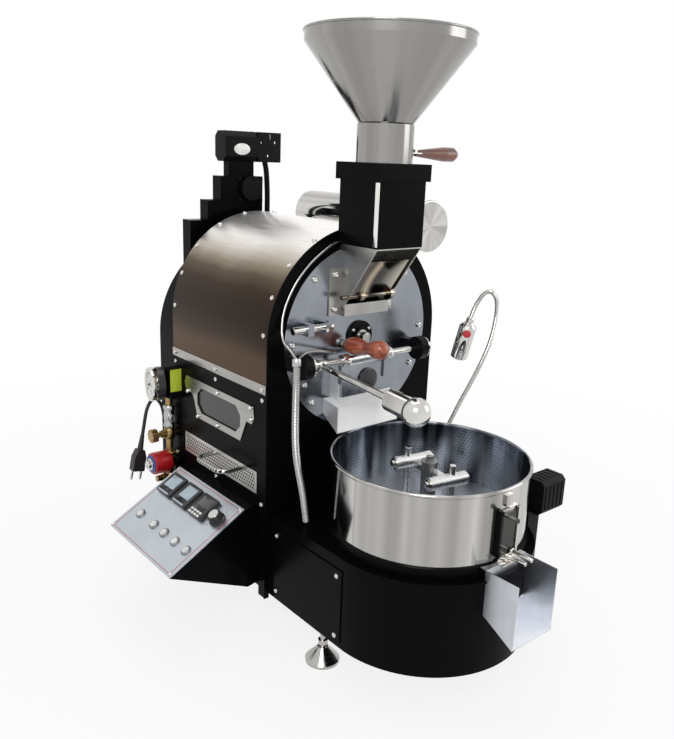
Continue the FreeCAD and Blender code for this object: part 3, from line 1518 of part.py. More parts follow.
def button_places():
    return [S.button_first_y] + [S.button_second_y - S.button_pitch * index for index in range(4)]


def control_panel():
    seat = panel_seat()
    plate = block(-S.panel_length, 0, S.control_front_y, S.control_back_y, -S.panel_thickness, 0, seat)
    rings = []
    holes = []
    for y in button_places():
        at = (-S.button_u, y, -S.panel_thickness / 2)
        rings.append(rod(S.button_ring_radius, S.button_ring_height + S.panel_thickness / 2, at, "Z", seat))
        holes.append(rod(S.button_radius + S.running_gap, S.button_ring_height + S.overrun,
                         (-S.button_u, y, 0), "Z", seat))
    knob_at = (-S.knob_u, S.knob_y, -S.panel_thickness / 2)
    spindle = rod(S.knob_spindle_radius, S.knob_spindle_height, knob_at, "Z", seat)
    node(cut(join(plate, spindle, *rings), *holes), "control_panel")


def temperature_controllers():
    seat = panel_seat()
    pieces = []
    side = S.controller_side
    border = S.controller_border
    height = S.controller_height
    for index in range(3):
        y1 = S.controller_first_y - S.controller_pitch * index
        x1 = -S.controller_top_u
        body = block(x1 - side, x1, y1 - side, y1, 0, height, seat)
        screen = block(x1 - side + border, x1 - border, y1 - side + border, y1 - border,
                       height - S.controller_screen_depth, height + S.overrun, seat)
        pieces.append(cut(body, screen))
    node(together(pieces), "temperature_controllers")


def speed_knob():
    seat = panel_seat()
    gap = S.running_gap
    points = [(0, gap), (S.knob_skirt_radius, gap), (S.knob_skirt_radius, S.knob_skirt_height),
              (S.knob_radius, S.knob_skirt_height + gap), (S.knob_radius * 0.9, S.knob_height), (0, S.knob_height)]
    cap = lathe(points, (-S.knob_u, S.knob_y, 0), "Z", seat)
    top = S.knob_spindle_height - S.panel_thickness / 2 + gap
    socket = rod(S.knob_spindle_radius + S.bearing_gap, top, (-S.knob_u, S.knob_y, 0), "Z", seat)
    node(cut(cap, socket), "speed_knob")


def push_buttons():
    seat = panel_seat()
    for index, y in enumerate(button_places(), start=1):
        cap = rod(S.button_radius, S.button_high - S.button_low, (-S.button_u, y, S.button_low), "Z", seat)
        node(cap, "push_button_%d" % index)


# Hopper and feed

def hopper():
    wall = S.hopper_wall
    rim = S.hopper_rim_radius
    band_z = S.hopper_high_z - S.hopper_rim_height
    throat = S.hopper_throat_radius
    low = S.collar_low_z
    turn = S.hopper_throat_z
    points = [(S.collar_radius - wall, low), (S.collar_radius, low), (S.collar_radius, turn + wall),
              (throat + wall, turn + wall), (rim, band_z), (rim, S.hopper_high_z),
              (rim - wall, S.hopper_high_z), (rim - wall, band_z + wall), (throat - wall, turn + wall),
              (throat - wall, turn - wall), (S.collar_radius - wall, turn - wall)]
    shell = lathe(points, (0, S.hopper_axis_y, 0), "Z")
    rim_bead = bead(rim, S.hopper_bead_radius, (0, S.hopper_axis_y, S.hopper_high_z), "Z")
    z0 = S.gate_plate_z
    gap = S.running_gap
    slot_half = S.hopper_gate_half + gap
    slot = block(0, S.collar_radius + S.overrun, S.hopper_axis_y - slot_half, S.hopper_axis_y + slot_half,
                 z0 - gap, z0 + S.hopper_gate_thickness + gap)
    node(cut(join(shell, rim_bead), slot), "hopper")


def hopper_gate():
    z0 = S.gate_plate_z
    z1 = z0 + S.hopper_gate_thickness
    inner = S.collar_radius - S.hopper_wall - S.running_gap
    half = S.hopper_gate_half
    blank = block(-S.collar_radius, S.hopper_gate_reach, S.hopper_axis_y - half, S.hopper_axis_y + half, z0, z1)
    room = rod(inner, S.hopper_gate_thickness, (0, S.hopper_axis_y, z0), "Z")
    tongue = block(0, S.hopper_gate_reach, S.hopper_axis_y - half, S.hopper_axis_y + half, z0, z1)
    plate = join(common(blank, room), tongue)
    y = S.hopper_axis_y - S.gate_handle_offset
    root = S.gate_handle_root_radius
    boss = block(S.hopper_gate_reach - root, S.hopper_gate_reach, y - root, y + root, z0, z1 + root)
    node(join(plate, boss), "hopper_gate")
    handle = lathe([(0, 0), (root, 0), (S.gate_handle_neck_radius, S.gate_handle_length * 0.25),
                    (S.gate_handle_end_radius, S.gate_handle_length * 0.7),
                    (S.gate_handle_end_radius, S.gate_handle_length * 0.92),
                    (S.gate_handle_end_radius * 0.7, S.gate_handle_length), (0, S.gate_handle_length)],
                   (S.gate_handle_start_x, y, z0 + S.hopper_gate_thickness / 2), "X")
    node(handle, "hopper_gate_handle")


def neck_box():
    half = S.neck_half
    wall = S.neck_wall
    y0 = S.neck_front_y
    low = S.neck_low_z
    cap_low = S.neck_cap_low_z
    tube_box = cut(block(-half, half, y0, 0, low, cap_low),
                   block(wall - half, half - wall, y0 + wall, -wall, low - S.overrun, cap_low))
    cap = block(-S.neck_cap_half, S.neck_cap_half, S.neck_cap_front_y, S.neck_cap_back_y, cap_low,
                S.collar_low_z)
    cap_room = block(wall - half, half - wall, y0 + wall, -wall, cap_low - S.overrun,
                     S.collar_low_z - wall)
    bore = rod(S.neck_bore_radius, S.overrun * 4, (0, S.hopper_axis_y, S.collar_low_z - S.overrun * 2), "Z")
    node(cut(join(tube_box, cap), cap_room, bore), "neck_box")


def feed_chute():
    half = S.neck_half
    wall = S.chute_wall
    back_y = -S.disc_thickness
    outline_points = [(back_y, S.chute_flange_low_z), (back_y, S.neck_low_z), (S.chute_front_top_y, S.neck_low_z),
                      (S.chute_front_low_y, S.chute_low_z), (S.chute_front_low_y, S.chute_flange_low_z)]
    pieces = []
    for x in (-half, half - wall):
        pieces.append(slab("YZ", outline_points, x, x + wall))
    flange_back = back_y - S.chute_flange_thickness
    pieces.append(block(-half, half, flange_back, back_y, S.chute_flange_low_z, S.neck_low_z))
    pieces.append(block(-S.chute_flange_half, S.chute_flange_half, flange_back, back_y,
                        S.chute_flange_low_z, S.chute_flange_high_z))
    pieces.append(block(-half, half, S.chute_front_low_y, back_y, S.chute_flange_low_z,
                        S.chute_flange_low_z + wall))
    pieces.append(block(-half, half, S.chute_front_low_y, S.chute_front_low_y + wall, S.chute_flange_low_z,
                        S.chute_low_z))
    pieces.append(block(-half, half, S.chute_front_top_y, S.chute_front_top_y + wall * 4,
                        S.neck_low_z - wall, S.neck_low_z))
    opening = block(-S.feed_opening_half, S.feed_opening_half, flange_back - S.overrun / 4, back_y
                    + S.overrun, S.feed_opening_low_z, S.feed_opening_high_z)
    bore = rod(S.flap_rod_radius + S.bearing_gap, half * 4, (-half * 2, S.flap_axis_y, S.flap_axis_z), "X")
    node(cut(join(*pieces), opening, bore), "feed_chute")


def flap_lean():
    """The angle of the chute's open front, from the vertical, in degrees."""
    run = (S.chute_front_low_y - S.chute_front_top_y).value
    rise = (S.neck_low_z - S.chute_low_z).value
    return math.degrees(math.atan2(run, rise))


def feed_flap():
    at = (S.flap_rod_left_x, S.flap_axis_y, S.flap_axis_z)
    spindle = rod(S.flap_rod_radius, S.flap_rod_right_x - S.flap_rod_left_x, at, "X")
    seat = seat_at(0, S.flap_axis_y, S.flap_axis_z, V(1, 0, 0), flap_lean())
    plate = block(-S.flap_plate_half, S.flap_plate_half, -S.flap_plate_thickness / 2,
                  S.flap_plate_thickness / 2, 0, S.flap_plate_length, seat)
    collar_x = -S.neck_half / 2
    collar = rod(S.flap_collar_radius, S.flap_collar_length, (collar_x, S.flap_axis_y, S.flap_axis_z), "X")
    disc_x = S.neck_half - S.chute_wall - S.running_gap - S.flap_disc_length
    disc = rod(S.flap_disc_radius, S.flap_disc_length, (disc_x, S.flap_axis_y, S.flap_axis_z), "X")
    node(join(spindle, plate, collar, disc), "feed_flap")


# Bean door, chute and trier

def bean_door():
    y = S.door_axis_y
    z = S.door_axis_z
    thickness = S.door_plate_thickness
    back_y = -S.disc_thickness - S.door_frame_depth - S.running_gap
    plate = block(-S.door_plate_half, S.door_plate_half, back_y - thickness, back_y, S.door_plate_low_z,
                  S.door_plate_high_z)
    knob = rod(S.door_knob_radius, S.door_knob_depth, (0, back_y - thickness, S.door_knob_z), "-Y")
    pieces = [plate, knob]
    for x in (S.door_arm_left_x, S.door_arm_right_x):
        pieces.append(rod(S.door_clamp_radius, S.door_arm_width, (x, y, z), "X"))
        front_y = back_y - thickness - S.door_knob_depth
        pieces.append(block(x, x + S.door_arm_width, front_y, back_y - S.running_gap, S.door_knob_z, z))
    bore = rod(S.door_rod_radius, S.disc_radius * 2, (-S.disc_radius, y, z), "X")
    node(cut(join(*pieces), bore), "bean_door")


def door_lever():
    y = S.door_axis_y
    z = S.door_axis_z
    gap = S.running_gap
    left_end = S.door_boss_left_x
    ring = S.door_ring_width
    ring_right_x = S.door_boss_right_x + S.door_boss_length + gap
    shaft = rod(S.door_rod_radius, ring_right_x + ring - left_end, (left_end, y, z), "X")
    ring_left_x = S.door_boss_left_x + S.door_boss_length + gap
    pieces = [shaft]
    pieces.append(rod(S.door_ring_radius, ring, (ring_left_x, y, z), "X"))
    pieces.append(rod(S.door_ring_radius, ring, (ring_right_x, y, z), "X"))
    pieces.append(rod(S.lever_hub_radius, S.lever_hub_width, (S.lever_x - S.lever_hub_width / 2, y, z), "X"))
    seat = seat_at(S.lever_x, y, z, V(1, 0, 0), 90.0 + S.lever_drop.value)
    pieces.append(rod(S.lever_radius, S.lever_length, (0, 0, 0), "Z", seat))
    weight_start = S.lever_length - S.lever_ball_radius * 0.6 - S.weight_length
    pieces.append(rod(S.weight_radius, S.weight_length, (0, 0, weight_start), "Z", seat))
    pieces.append(ball(S.lever_ball_radius, (0, 0, S.lever_length), seat))
    node(join(*pieces), "door_lever")


def discharge_chute():
    back_y = -S.disc_thickness
    front_y = back_y - S.door_frame_depth
    half = S.door_frame_half
    frame = cut(block(-half, half, front_y, back_y, S.door_frame_low_z, S.door_frame_high_z),
                block(-S.door_opening_half, S.door_opening_half, front_y - S.overrun, back_y + S.overrun,
                      S.door_opening_low_z, S.door_opening_high_z))
    x0 = S.apron_left_x
    x1 = S.apron_right_x
    wall = S.apron_wall
    lip_y = S.apron_lip_y
    floor = slab("YZ", [(back_y, S.apron_back_z), (back_y, S.apron_back_z + wall),
                        (lip_y, S.apron_lip_z + wall), (lip_y, S.apron_lip_z)], x0, x1)
    sides = []
    for x in (x0, x1 - wall):
        sides.append(slab("YZ", [(back_y, S.apron_back_z), (back_y, S.apron_side_back_z),
                                 (lip_y, S.apron_side_front_z), (lip_y, S.apron_lip_z)], x, x + wall))
    apron_back = block(x0, x1, back_y - wall, back_y, S.apron_back_z, S.door_frame_low_z)
    node(join(frame, floor, apron_back, *sides), "discharge_chute")


def trier_seat():
    return seat_at(S.trier_x, -S.disc_thickness, S.trier_z, V(1, 0, 0), 90.0 - S.trier_rise.value)


def trier():
    seat = trier_seat()
    handle_start = S.trier_stand_off + S.trier_ferrule_length
    tube_length = S.trier_inner_length + handle_start
    stem = rod(S.trier_radius, tube_length, (0, 0, -S.trier_inner_length), "Z", seat)
    bore = rod(S.trier_radius * 0.75, S.trier_inner_length * 0.9,
               (0, 0, -S.trier_inner_length - S.overrun), "Z", seat)
    scoop = block(-S.trier_radius * 2, S.trier_radius * 2, S.trier_radius * 0.2, S.trier_radius * 2,
                  -S.trier_inner_length - S.overrun, -S.trier_inner_length * 0.3, seat)
    ferrule = rod(S.trier_waist_radius, S.trier_ferrule_length, (0, 0, S.trier_stand_off), "Z", seat)
    node(cut(join(stem, ferrule), bore, scoop), "trier")
    start = handle_start
    length = S.trier_handle_length
    waist = S.trier_waist_radius
    butt = S.trier_butt_radius
    grip = S.trier_grip_radius
    quarter = length / 4
    handle = rounded_lathe(
        (waist, as_size(0)),
        [((butt * 0.96, quarter * 0.45), (butt, quarter)),
         ((butt * 0.88, quarter * 1.5), (waist, quarter * 2)),
         ((waist * 1.25, quarter * 2.35), (grip, quarter * 3.1)),
         ((grip * 0.85, quarter * 3.75), (waist * 0.3, quarter * 4))],
        (0, 0, start), "Z", seat)
    node(handle, "trier_handle")


def slide_bolt():
    y = S.bolt_y
    z = S.bolt_z
    bar = rod(S.bolt_radius, S.bolt_length, (S.bolt_left_x, y, z), "X")
    slot_start = S.bolt_left_x + S.bolt_length - S.bolt_slot_length - S.overrun
    slot = block(slot_start, slot_start + S.bolt_slot_length, y - S.bolt_radius * 2, y - S.bolt_radius / 2,
                 z - S.bolt_slot_width / 2, z + S.bolt_slot_width / 2)
    pull_x = S.bolt_left_x + S.bolt_guide_length - S.bolt_slot_width
    pull = rod(S.bolt_slot_width * 0.6, S.bolt_block_width * 1.7, (pull_x, y - S.bolt_radius * 0.1, z), "-Y")
    node(join(cut(bar, slot), pull), "slide_bolt")


def bolt_guide():
    """The two guide blocks of the slide bolt, on the disc."""
    pieces = []
    half = S.bolt_block_half
    back_y = -S.disc_thickness
    for x in (S.bolt_left_x + S.bolt_block_width * 2, S.bolt_left_x + S.bolt_guide_length):
        pieces.append(block(x, x + S.bolt_block_width, S.bolt_y - half, back_y, S.bolt_z - half,
                            S.bolt_z + half))
    bore = rod(S.bolt_radius + S.bearing_gap, S.bolt_length * 2, (S.bolt_left_x - S.bolt_length / 2,
                                                                S.bolt_y, S.bolt_z), "X")
    return cut(join(*pieces), bore)


# Probe, duct and gas train

def probe_conduit():
    """The probe's thin sheath along the arch, from the neck box into the top of the armoured conduit."""
    sheath_y = -S.sheath_radius - S.running_gap
    radius = S.conduit_radius
    ring = S.disc_radius + radius * 2
    axis_z = S.arch_axis_z
    drop = S.conduit_top_z - S.base_top_z
    spots = []
    for across, out, down in conduit_shares:
        spots.append((S.conduit_x - S.conduit_bow * across, S.conduit_y + radius * out,
                      S.conduit_top_z - drop * down))
    conduit_points = route(spots)
    points = [(-S.neck_half, sheath_y, S.sheath_start_z), (-S.neck_half - S.overrun, sheath_y, S.sheath_start_z)]
    for share in sheath_turn_shares:
        angle = math.pi * share
        points.append((ring * math.cos(angle), sheath_y, axis_z + ring * math.sin(angle)))
    points.append((-ring, sheath_y - radius * 2, axis_z + radius * 2))
    points.append((-ring - radius / 6, sheath_y - radius * 6, axis_z + radius * 0.7))
    sheath = tube(route(points) + [conduit_points[0]], S.sheath_radius, "probe sheath")
    second_spots = []
    for across, out, up in second_sheath_shares:
        second_spots.append((-S.disc_radius * across, S.conduit_y * out, axis_z + S.disc_radius * up))
    second_sheath = tube(route(second_spots), S.sheath_radius, "second sheath")
    conduit = tube(conduit_points, radius, "armoured conduit")
    node(together([sheath, second_sheath, conduit]), "probe_conduit")


def exhaust_duct():
    y0 = S.duct_front_y
    y1 = behind(S.duct_behind)
    at = (S.duct_x, y0, S.duct_z)
    shell = cut(rod(S.duct_radius, y1 - y0, at, "Y"),
                rod(S.duct_radius - S.duct_wall, y1 - y0, (S.duct_x, y0 + S.duct_wall, S.duct_z), "Y"))
    beads = [bead(S.duct_radius, S.duct_bead_radius, (S.duct_x, y0 + S.duct_bead_radius, S.duct_z), "Y")]
    lean = math.degrees(math.atan2(S.duct_x.value, (S.duct_z - S.arch_axis_z).value))
    seat = seat_at(0, 0, S.arch_axis_z, V(0, 1, 0), lean)
    room = rod(S.duct_radius - S.duct_wall, y1, (S.duct_x, y0 + S.duct_wall, S.duct_z), "Y")
    cover = rod(S.arch_radius, y1, (0, 0, S.arch_axis_z), "Y")
    pieces = [shell] + beads
    for y in (S.saddle_first_y, behind(S.saddle_second_behind)):
        saddle = block(-S.saddle_half_width, S.saddle_half_width, y, y + S.saddle_length,
                       S.arch_radius - S.overrun, S.arch_radius + S.duct_radius / 2, seat)
        pieces.append(cut(saddle, cover, room))
    node(join(*pieces), "exhaust_duct")


def pressure_gauge():
    seat = seat_at(S.riser_x, behind(S.gas_behind), S.gauge_z, V(0, 0, 1), S.gauge_turn.value)
    case_x = S.gauge_x - S.riser_x
    case = rod(S.gauge_radius, S.gauge_depth, (case_x, 0, 0), "X", seat)
    dial = rod(S.gauge_radius * 0.88, S.skin, (case_x - S.skin / 2, 0, 0), "X", seat)
    neck_x = case_x + S.gauge_depth
    stem = rod(S.gauge_stem_radius, S.skin - neck_x - S.riser_radius, (neck_x, 0, 0), "X", seat)
    riser = rod(S.riser_radius, S.overrun * 3, (0, 0, -S.overrun * 2), "Z", seat)
    node(join(cut(case, dial), stem, riser), "pressure_gauge")


def pressure_switch():
    box = block(S.switch_left_x, -S.arch_radius, behind(S.switch_front_behind), behind(S.switch_back_behind),
                S.switch_low_z, S.switch_high_z)
    node(box, "pressure_switch")


def gas_train():
    y = behind(S.gas_behind)
    x = S.riser_x
    riser = gas_riser(x, y)
    body = rod(S.valve_radius, S.valve_high_z - S.valve_low_z, (x, y, S.valve_low_z), "Z")
    tee = rod(S.tee_radius, S.tee_length, (x, y, S.tee_z - S.tee_length / 2), "Z")
    branch = rod(S.tee_radius * 0.7, x - S.knob_cock_x - S.knob_cock_length - S.overrun,
                 (S.knob_cock_x + S.knob_cock_length + S.overrun, y, S.tee_z), "X")
    stem = rod(S.cock_stem_radius, S.overrun + S.knob_cock_length / 2, (S.knob_cock_x
               + S.knob_cock_length / 2, y, S.tee_z), "X")
    wall_x = -S.arch_radius
    to_wall = rod(S.tee_radius * 0.7, wall_x - x, (x, y, S.solenoid_z), "X")
    upper_to_wall = rod(S.tee_radius * 0.7, wall_x - x, (x, y, S.tee_z), "X")
    hub = gas_hub(x, y)
    elbow = rod(S.riser_radius, S.inlet_elbow_length, (x - S.inlet_elbow_length, y, S.inlet_elbow_z), "X")
    elbow_knee = ball(S.riser_radius * 1.3, (x, y, S.inlet_elbow_z))
    cap_stem = rod(S.valve_stem_radius, S.valve_stem_length, (x, y - S.valve_radius * 0.5,
                   (S.valve_low_z + S.valve_high_z) / 2), "-Y")
    fittings = join(riser, body, tee, branch, stem, to_wall, upper_to_wall, hub, elbow, elbow_knee, cap_stem)
    coil = rod(S.solenoid_radius, S.solenoid_right_x - S.solenoid_left_x, (S.solenoid_left_x, y, S.solenoid_z),
               "X")
    cap = rod(S.solenoid_cap_radius, S.solenoid_cap_length,
              (S.solenoid_left_x - S.solenoid_cap_length, y, S.solenoid_z), "X")
    solenoid = cut(join(coil, cap), join(gas_hub(x, y), gas_riser(x, y)))
    node(together([fittings, solenoid]), "gas_train")


def gas_hub(x, y):
    return rod(S.solenoid_body_radius, S.solenoid_body_radius * 2,
               (x, y, S.solenoid_z - S.solenoid_body_radius), "Z")


def gas_riser(x, y):
    return rod(S.riser_radius, S.gauge_z - S.overrun * 2 - S.inlet_elbow_z, (x, y, S.inlet_elbow_z), "Z")


def gas_valve_cap():
    """The round cap on the valve's stem, with a slot to turn it by."""
    length = S.valve_cap_length
    y = behind(S.gas_behind) - S.valve_radius - S.running_gap - length
    z = (S.valve_low_z + S.valve_high_z) / 2
    slot = S.valve_cap_slot
    cap = rod(S.valve_cap_radius, length, (S.riser_x, y, z), "Y")
    bore = rod(S.valve_stem_radius + S.bearing_gap, length, (S.riser_x, y + slot * 1.4, z), "Y")
    groove = block(S.riser_x - slot / 2, S.riser_x + slot / 2, y - slot, y + slot / 2, z - S.valve_cap_radius * 2,
                   z + S.valve_cap_radius * 2)
    node(cut(cap, bore, groove), "gas_valve_cap")


def gas_knob():
    at = (S.knob_cock_x, behind(S.gas_behind), S.tee_z)
    knob = rod(S.knob_cock_radius, S.knob_cock_length - S.running_gap, at, "X")
    socket_x = S.knob_cock_x + S.knob_cock_length / 2 - S.running_gap
    socket = rod(S.cock_stem_radius + S.bearing_gap, S.knob_cock_length,
                 (socket_x, behind(S.gas_behind), S.tee_z), "X")
    flutes = []
    for count in range(10):
        seat = seat_at(S.knob_cock_x, behind(S.gas_behind), S.tee_z, V(1, 0, 0), 36.0 * count)
        flutes.append(rod(S.knob_cock_radius * 0.16, S.knob_cock_length * 1.2,
                          (-S.knob_cock_length * 0.1, 0, S.knob_cock_radius), "X", seat))
    node(cut(knob, socket, *flutes), "gas_knob")


# Lamp

def work_lamp():
    foot_y = S.lamp_foot_y
    low = S.base_top_z + S.lamp_foot_height
    x = S.lamp_x
    points = route([(x, foot_y - S.lamp_reach * out, low + S.lamp_rise * up) for out, up in lamp_shares])
    stem = tube(points, S.lamp_stem_radius, "lamp stem")
    foot = rod(S.lamp_foot_radius, S.lamp_foot_height, (x, foot_y, S.base_top_z), "Z")
    seat = end_seat(points)
    wall = S.lamp_head_wall
    length = S.lamp_head_length
    head = lathe([(0, 0), (S.lamp_neck_radius, 0), (S.lamp_neck_radius, length * 0.1),
                  (S.lamp_head_radius, length * 0.2), (S.lamp_head_radius, length),
                  (S.lamp_head_radius - wall, length), (S.lamp_head_radius - wall, length - wall * 2),
                  (0, length - wall * 2)], (0, 0, 0), "Z", seat)
    node(together([join(stem, foot), head]), "work_lamp")


# Power cord

def cord_gland():
    at = (S.gland_x, behind(S.gland_behind), S.housing_low_z)
    nut = rod(S.gland_radius, S.gland_length / 2, at, "-Z")
    tip = rod(S.gland_nut_radius, S.gland_length, at, "-Z")
    node(join(nut, tip), "cord_gland")


def coil_edges():
    """Two loops wound inwards on the floor, a climb, and two loops wound outwards on top of them."""
    pitch = S.coil_pitch.value
    outer = S.coil_outer_radius.value
    centre = WORLD.vector(S.coil_x, S.coil_y, 0)
    low = S.cord_radius.value
    high = low + S.coil_layer_rise.value
    edges = []
    reach = outer
    spots = [(reach, low)]
    for half in range(4):
        reach = reach - pitch / 2
        spots.append((reach, low))
    spots.append((reach, high))
    for half in range(4):
        reach = reach + pitch / 2
        spots.append((reach, high))
    side = 1
    for index in range(len(spots) - 1):
        r0, z0 = spots[index]
        r1, z1 = spots[index + 1]
        start = centre + V(side * r0, 0, z0)
        end = centre + V(-side * r1, 0, z1)
        middle_radius = (r0 + r1) / 2
        shift = side * (r0 - middle_radius)
        top = centre + V(shift, side * middle_radius, (z0 + z1) / 2)
        if abs(z1 - z0) < 1e-6:
            edges.append(Part.Arc(start, top, end).toShape())
        else:
            edges.extend(climb(start, end, side, z1 - z0))
        side = -side
    return edges, centre


def climb(start, end, side, rise):
    """A half turn that climbs a layer, as four arcs whose ends share their headings."""
    spots = []
    headings = []
    middle = (start + end) / 2
    flat_radius = V(start.x - middle.x, start.y - middle.y, 0).Length
    count = 4
    for index in range(count + 1):
        angle = math.pi * index / count
        share = (1 - math.cos(angle)) / 2
        across = V(side * flat_radius * math.cos(angle), side * flat_radius * math.sin(angle), 0)
        spots.append(V(middle.x, middle.y, start.z + rise * share) + across)
        slope = rise * math.sin(angle) / 2
        heading = V(-side * flat_radius * math.sin(angle), side * flat_radius * math.cos(angle), slope)
        headings.append(heading.normalize())
    edges = []
    for index in range(count):
        edges.extend(biarc(spots[index], headings[index], spots[index + 1], headings[index + 1]))
    return edges


def biarc(start, heading, end, end_heading):
    """Two arcs that leave start and reach end along the given headings."""
    chord = end - start
    both = heading + end_heading
    along = 2 * (1 - heading.dot(end_heading))
    if along < 1e-9:
        return [Part.LineSegment(start, end).toShape()]
    reach = (-chord.dot(both) + math.sqrt(chord.dot(both) ** 2 + 2 * along * chord.dot(chord) / 2)) / along
    first = start + heading * reach
    second = end - end_heading * reach
    joint = (first + second) / 2
    edges = []
    for a, corner, b in ((start, first, joint), (joint, second, end)):
        back = (a - corner).normalize()
        ahead = (b - corner).normalize()
        half = back.getAngle(ahead) / 2
        radius = (a - corner).Length * math.tan(half)
        centre = corner + (back + ahead).normalize() * (radius / math.sin(half))
        middle = centre + (corner - centre).normalize() * radius
        edges.append(Part.Arc(a, middle, b).toShape())
    return edges


def least_gap(edges, radius):
    """The least gap between turns of one tube, measured on points along it."""
    points = []
    along = 0.0
    step = radius / 2
    for edge in edges:
        count = max(2, int(edge.Length / step))
        for index in range(count):
            share = index / count
            value = edge.FirstParameter + (edge.LastParameter - edge.FirstParameter) * share
            points.append((along + edge.Length * share, edge.valueAt(value)))
        along += edge.Length
    least = 1e9
    apart = radius * 8
    for first in range(len(points)):
        for second in range(first + 1, len(points)):
            if points[second][0] - points[first][0] > apart:
                gap = (points[second][1] - points[first][1]).Length - 2 * radius
                least = min(least, gap)
    return least


def power_cord():
    edges, centre = coil_edges()
    radius = S.cord_radius
    outer = S.coil_outer_radius
    straight = radius.value * 2
    start = centre + V(outer.value, -straight, radius.value)
    lead_in = Part.LineSegment(start, centre + V(outer.value, 0, radius.value)).toShape()
    last = edges[-1].valueAt(edges[-1].LastParameter)
    out_end = last + V(0, -straight, 0)
    lead_out = Part.LineSegment(last, out_end).toShape()
    whole = [lead_in] + edges + [lead_out]
    coil = pipe(whole, radius, "cord coil", [outer.value])
    print("cord coil: least gap %.2f" % least_gap(whole, radius.value))
    node(coil, "cord_coil")
    lead = []
    gland_y = behind(S.gland_behind)
    gland_z = S.housing_low_z - S.gland_length
    for across, back, up in cord_lead_shares:
        lead.append((S.gland_x + (S.coil_x + outer - S.gland_x) * across,
                     gland_y + (S.coil_y - radius * 2 - gland_y) * back, radius + (gland_z - radius) * up))
    tail = []
    back_y = S.body_length + S.housing_depth
    for across, back, up in cord_tail_shares:
        tail.append((S.arch_radius * across, back_y + (S.coil_y - back_y) * back,
                     radius + (S.cord_high_z - radius) * up))
    to_coil = route(lead) + [start]
    to_plug = [out_end, out_end + V(0, -straight * 3, 0)] + route(tail)
    pieces = [tube(to_coil, radius, "cord to the coil"), tube(to_plug, radius, "cord to the plug")]
    node(together(pieces), "power_cord")
    power_plug(end_seat(to_plug))


def power_plug(seat):
    """The plug on the cord's end, in line with the cord, with its two pins down."""
    relief = taper(S.cord_radius * 1.15, S.plug_relief_radius, S.plug_relief_length, (0, 0, 0), "Z", seat)
    half = S.plug_width / 2
    start = S.plug_relief_length
    end_z = start + S.plug_length
    body = slab("XZ", [(-half * 0.55, start), (half * 0.55, start), (half, start + S.plug_length * 0.35),
                       (half, end_z), (-half, end_z), (-half, start + S.plug_length * 0.35)],
                -S.plug_depth / 2, S.plug_depth / 2, seat)
    pins = []
    for way_out in (-1, 1):
        pins.append(rod(S.plug_pin_radius, S.plug_pin_length, (S.plug_pin_spacing / 2 * way_out, 0, end_z), "Z",
                        seat))
    node(join(relief, body, *pins), "power_plug")


def main():
    base_cabinet()
    base_top_plate()
    levelling_feet()
    cooling_bin()
    gate_slide()
    bin_floor()
    discharge_spout()
    agitator_shaft()
    agitator_arms()
    agitator_gearmotor()
    fan_motor()
    front_plate()
    side_panel("side_panel_left", -1)
    side_panel("side_panel_right", 1)
    outer_cover()
    rear_housing()
    strip_and_screws()
    face_disc()
    bearings()
    drum()
    drum_shaft()
    drive_pulley()
    drive_belt()
    drive_motor()
    burner()
    window_frame()
    window_glass()
    chaff_drawer()
    control_box()
    control_panel()
    temperature_controllers()
    speed_knob()
    push_buttons()
    hopper()
    hopper_gate()
    neck_box()
    feed_chute()
    feed_flap()
    bean_door()
    door_lever()
    discharge_chute()
    trier()
    slide_bolt()
    probe_conduit()
    exhaust_duct()
    pressure_gauge()
    pressure_switch()
    gas_train()
    gas_valve_cap()
    gas_knob()
    work_lamp()
    cord_gland()
    power_cord()
    doc.recompute()
    write_parts()


def write_parts():
    """Check every object, then write each sub-part to its own file."""
    for obj in doc.Objects:
        if "Invalid" in obj.State or "Error" in obj.State:
            raise RuntimeError("%s (%s) is not valid" % (obj.Name, obj.Label))
    os.makedirs("parts", exist_ok=True)
    for obj in NODES:
        shape = obj.Shape
        if shape.isNull() or not shape.isValid():
            raise RuntimeError(obj.Label + " has no valid shape")
        shape.exportStep(os.path.join("parts", obj.Label + ".step"))
        box = shape.BoundBox
        print("%-24s solids %2d  volume %10.0f  x %7.1f %7.1f  y %7.1f %7.1f  z %7.1f %7.1f" % (
            obj.Label, len(shape.Solids), shape.Volume, box.XMin, box.XMax, box.YMin, box.YMax, box.ZMin,
            box.ZMax))
    print(len(NODES), "nodes")


main()
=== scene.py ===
"""Commercial drum coffee roaster: finishes, fine pieces and the studio."""
import math

import bpy
from mathutils import Matrix, Vector


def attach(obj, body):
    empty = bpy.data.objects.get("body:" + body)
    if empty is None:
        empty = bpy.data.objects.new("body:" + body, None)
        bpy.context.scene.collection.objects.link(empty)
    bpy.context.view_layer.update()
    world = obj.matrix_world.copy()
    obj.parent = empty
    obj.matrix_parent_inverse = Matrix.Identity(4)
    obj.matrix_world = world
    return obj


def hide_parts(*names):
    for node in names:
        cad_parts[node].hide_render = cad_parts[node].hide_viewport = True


bl_info = {
    "name": "Coffee Roaster",
    "version": (1, 0, 0),
    "blender": (4, 5, 0),
    "location": "View3D > Sidebar > Roaster",
    "description": "Dresses a drum coffee roaster and sets up its studio",
    "category": "Object",
}

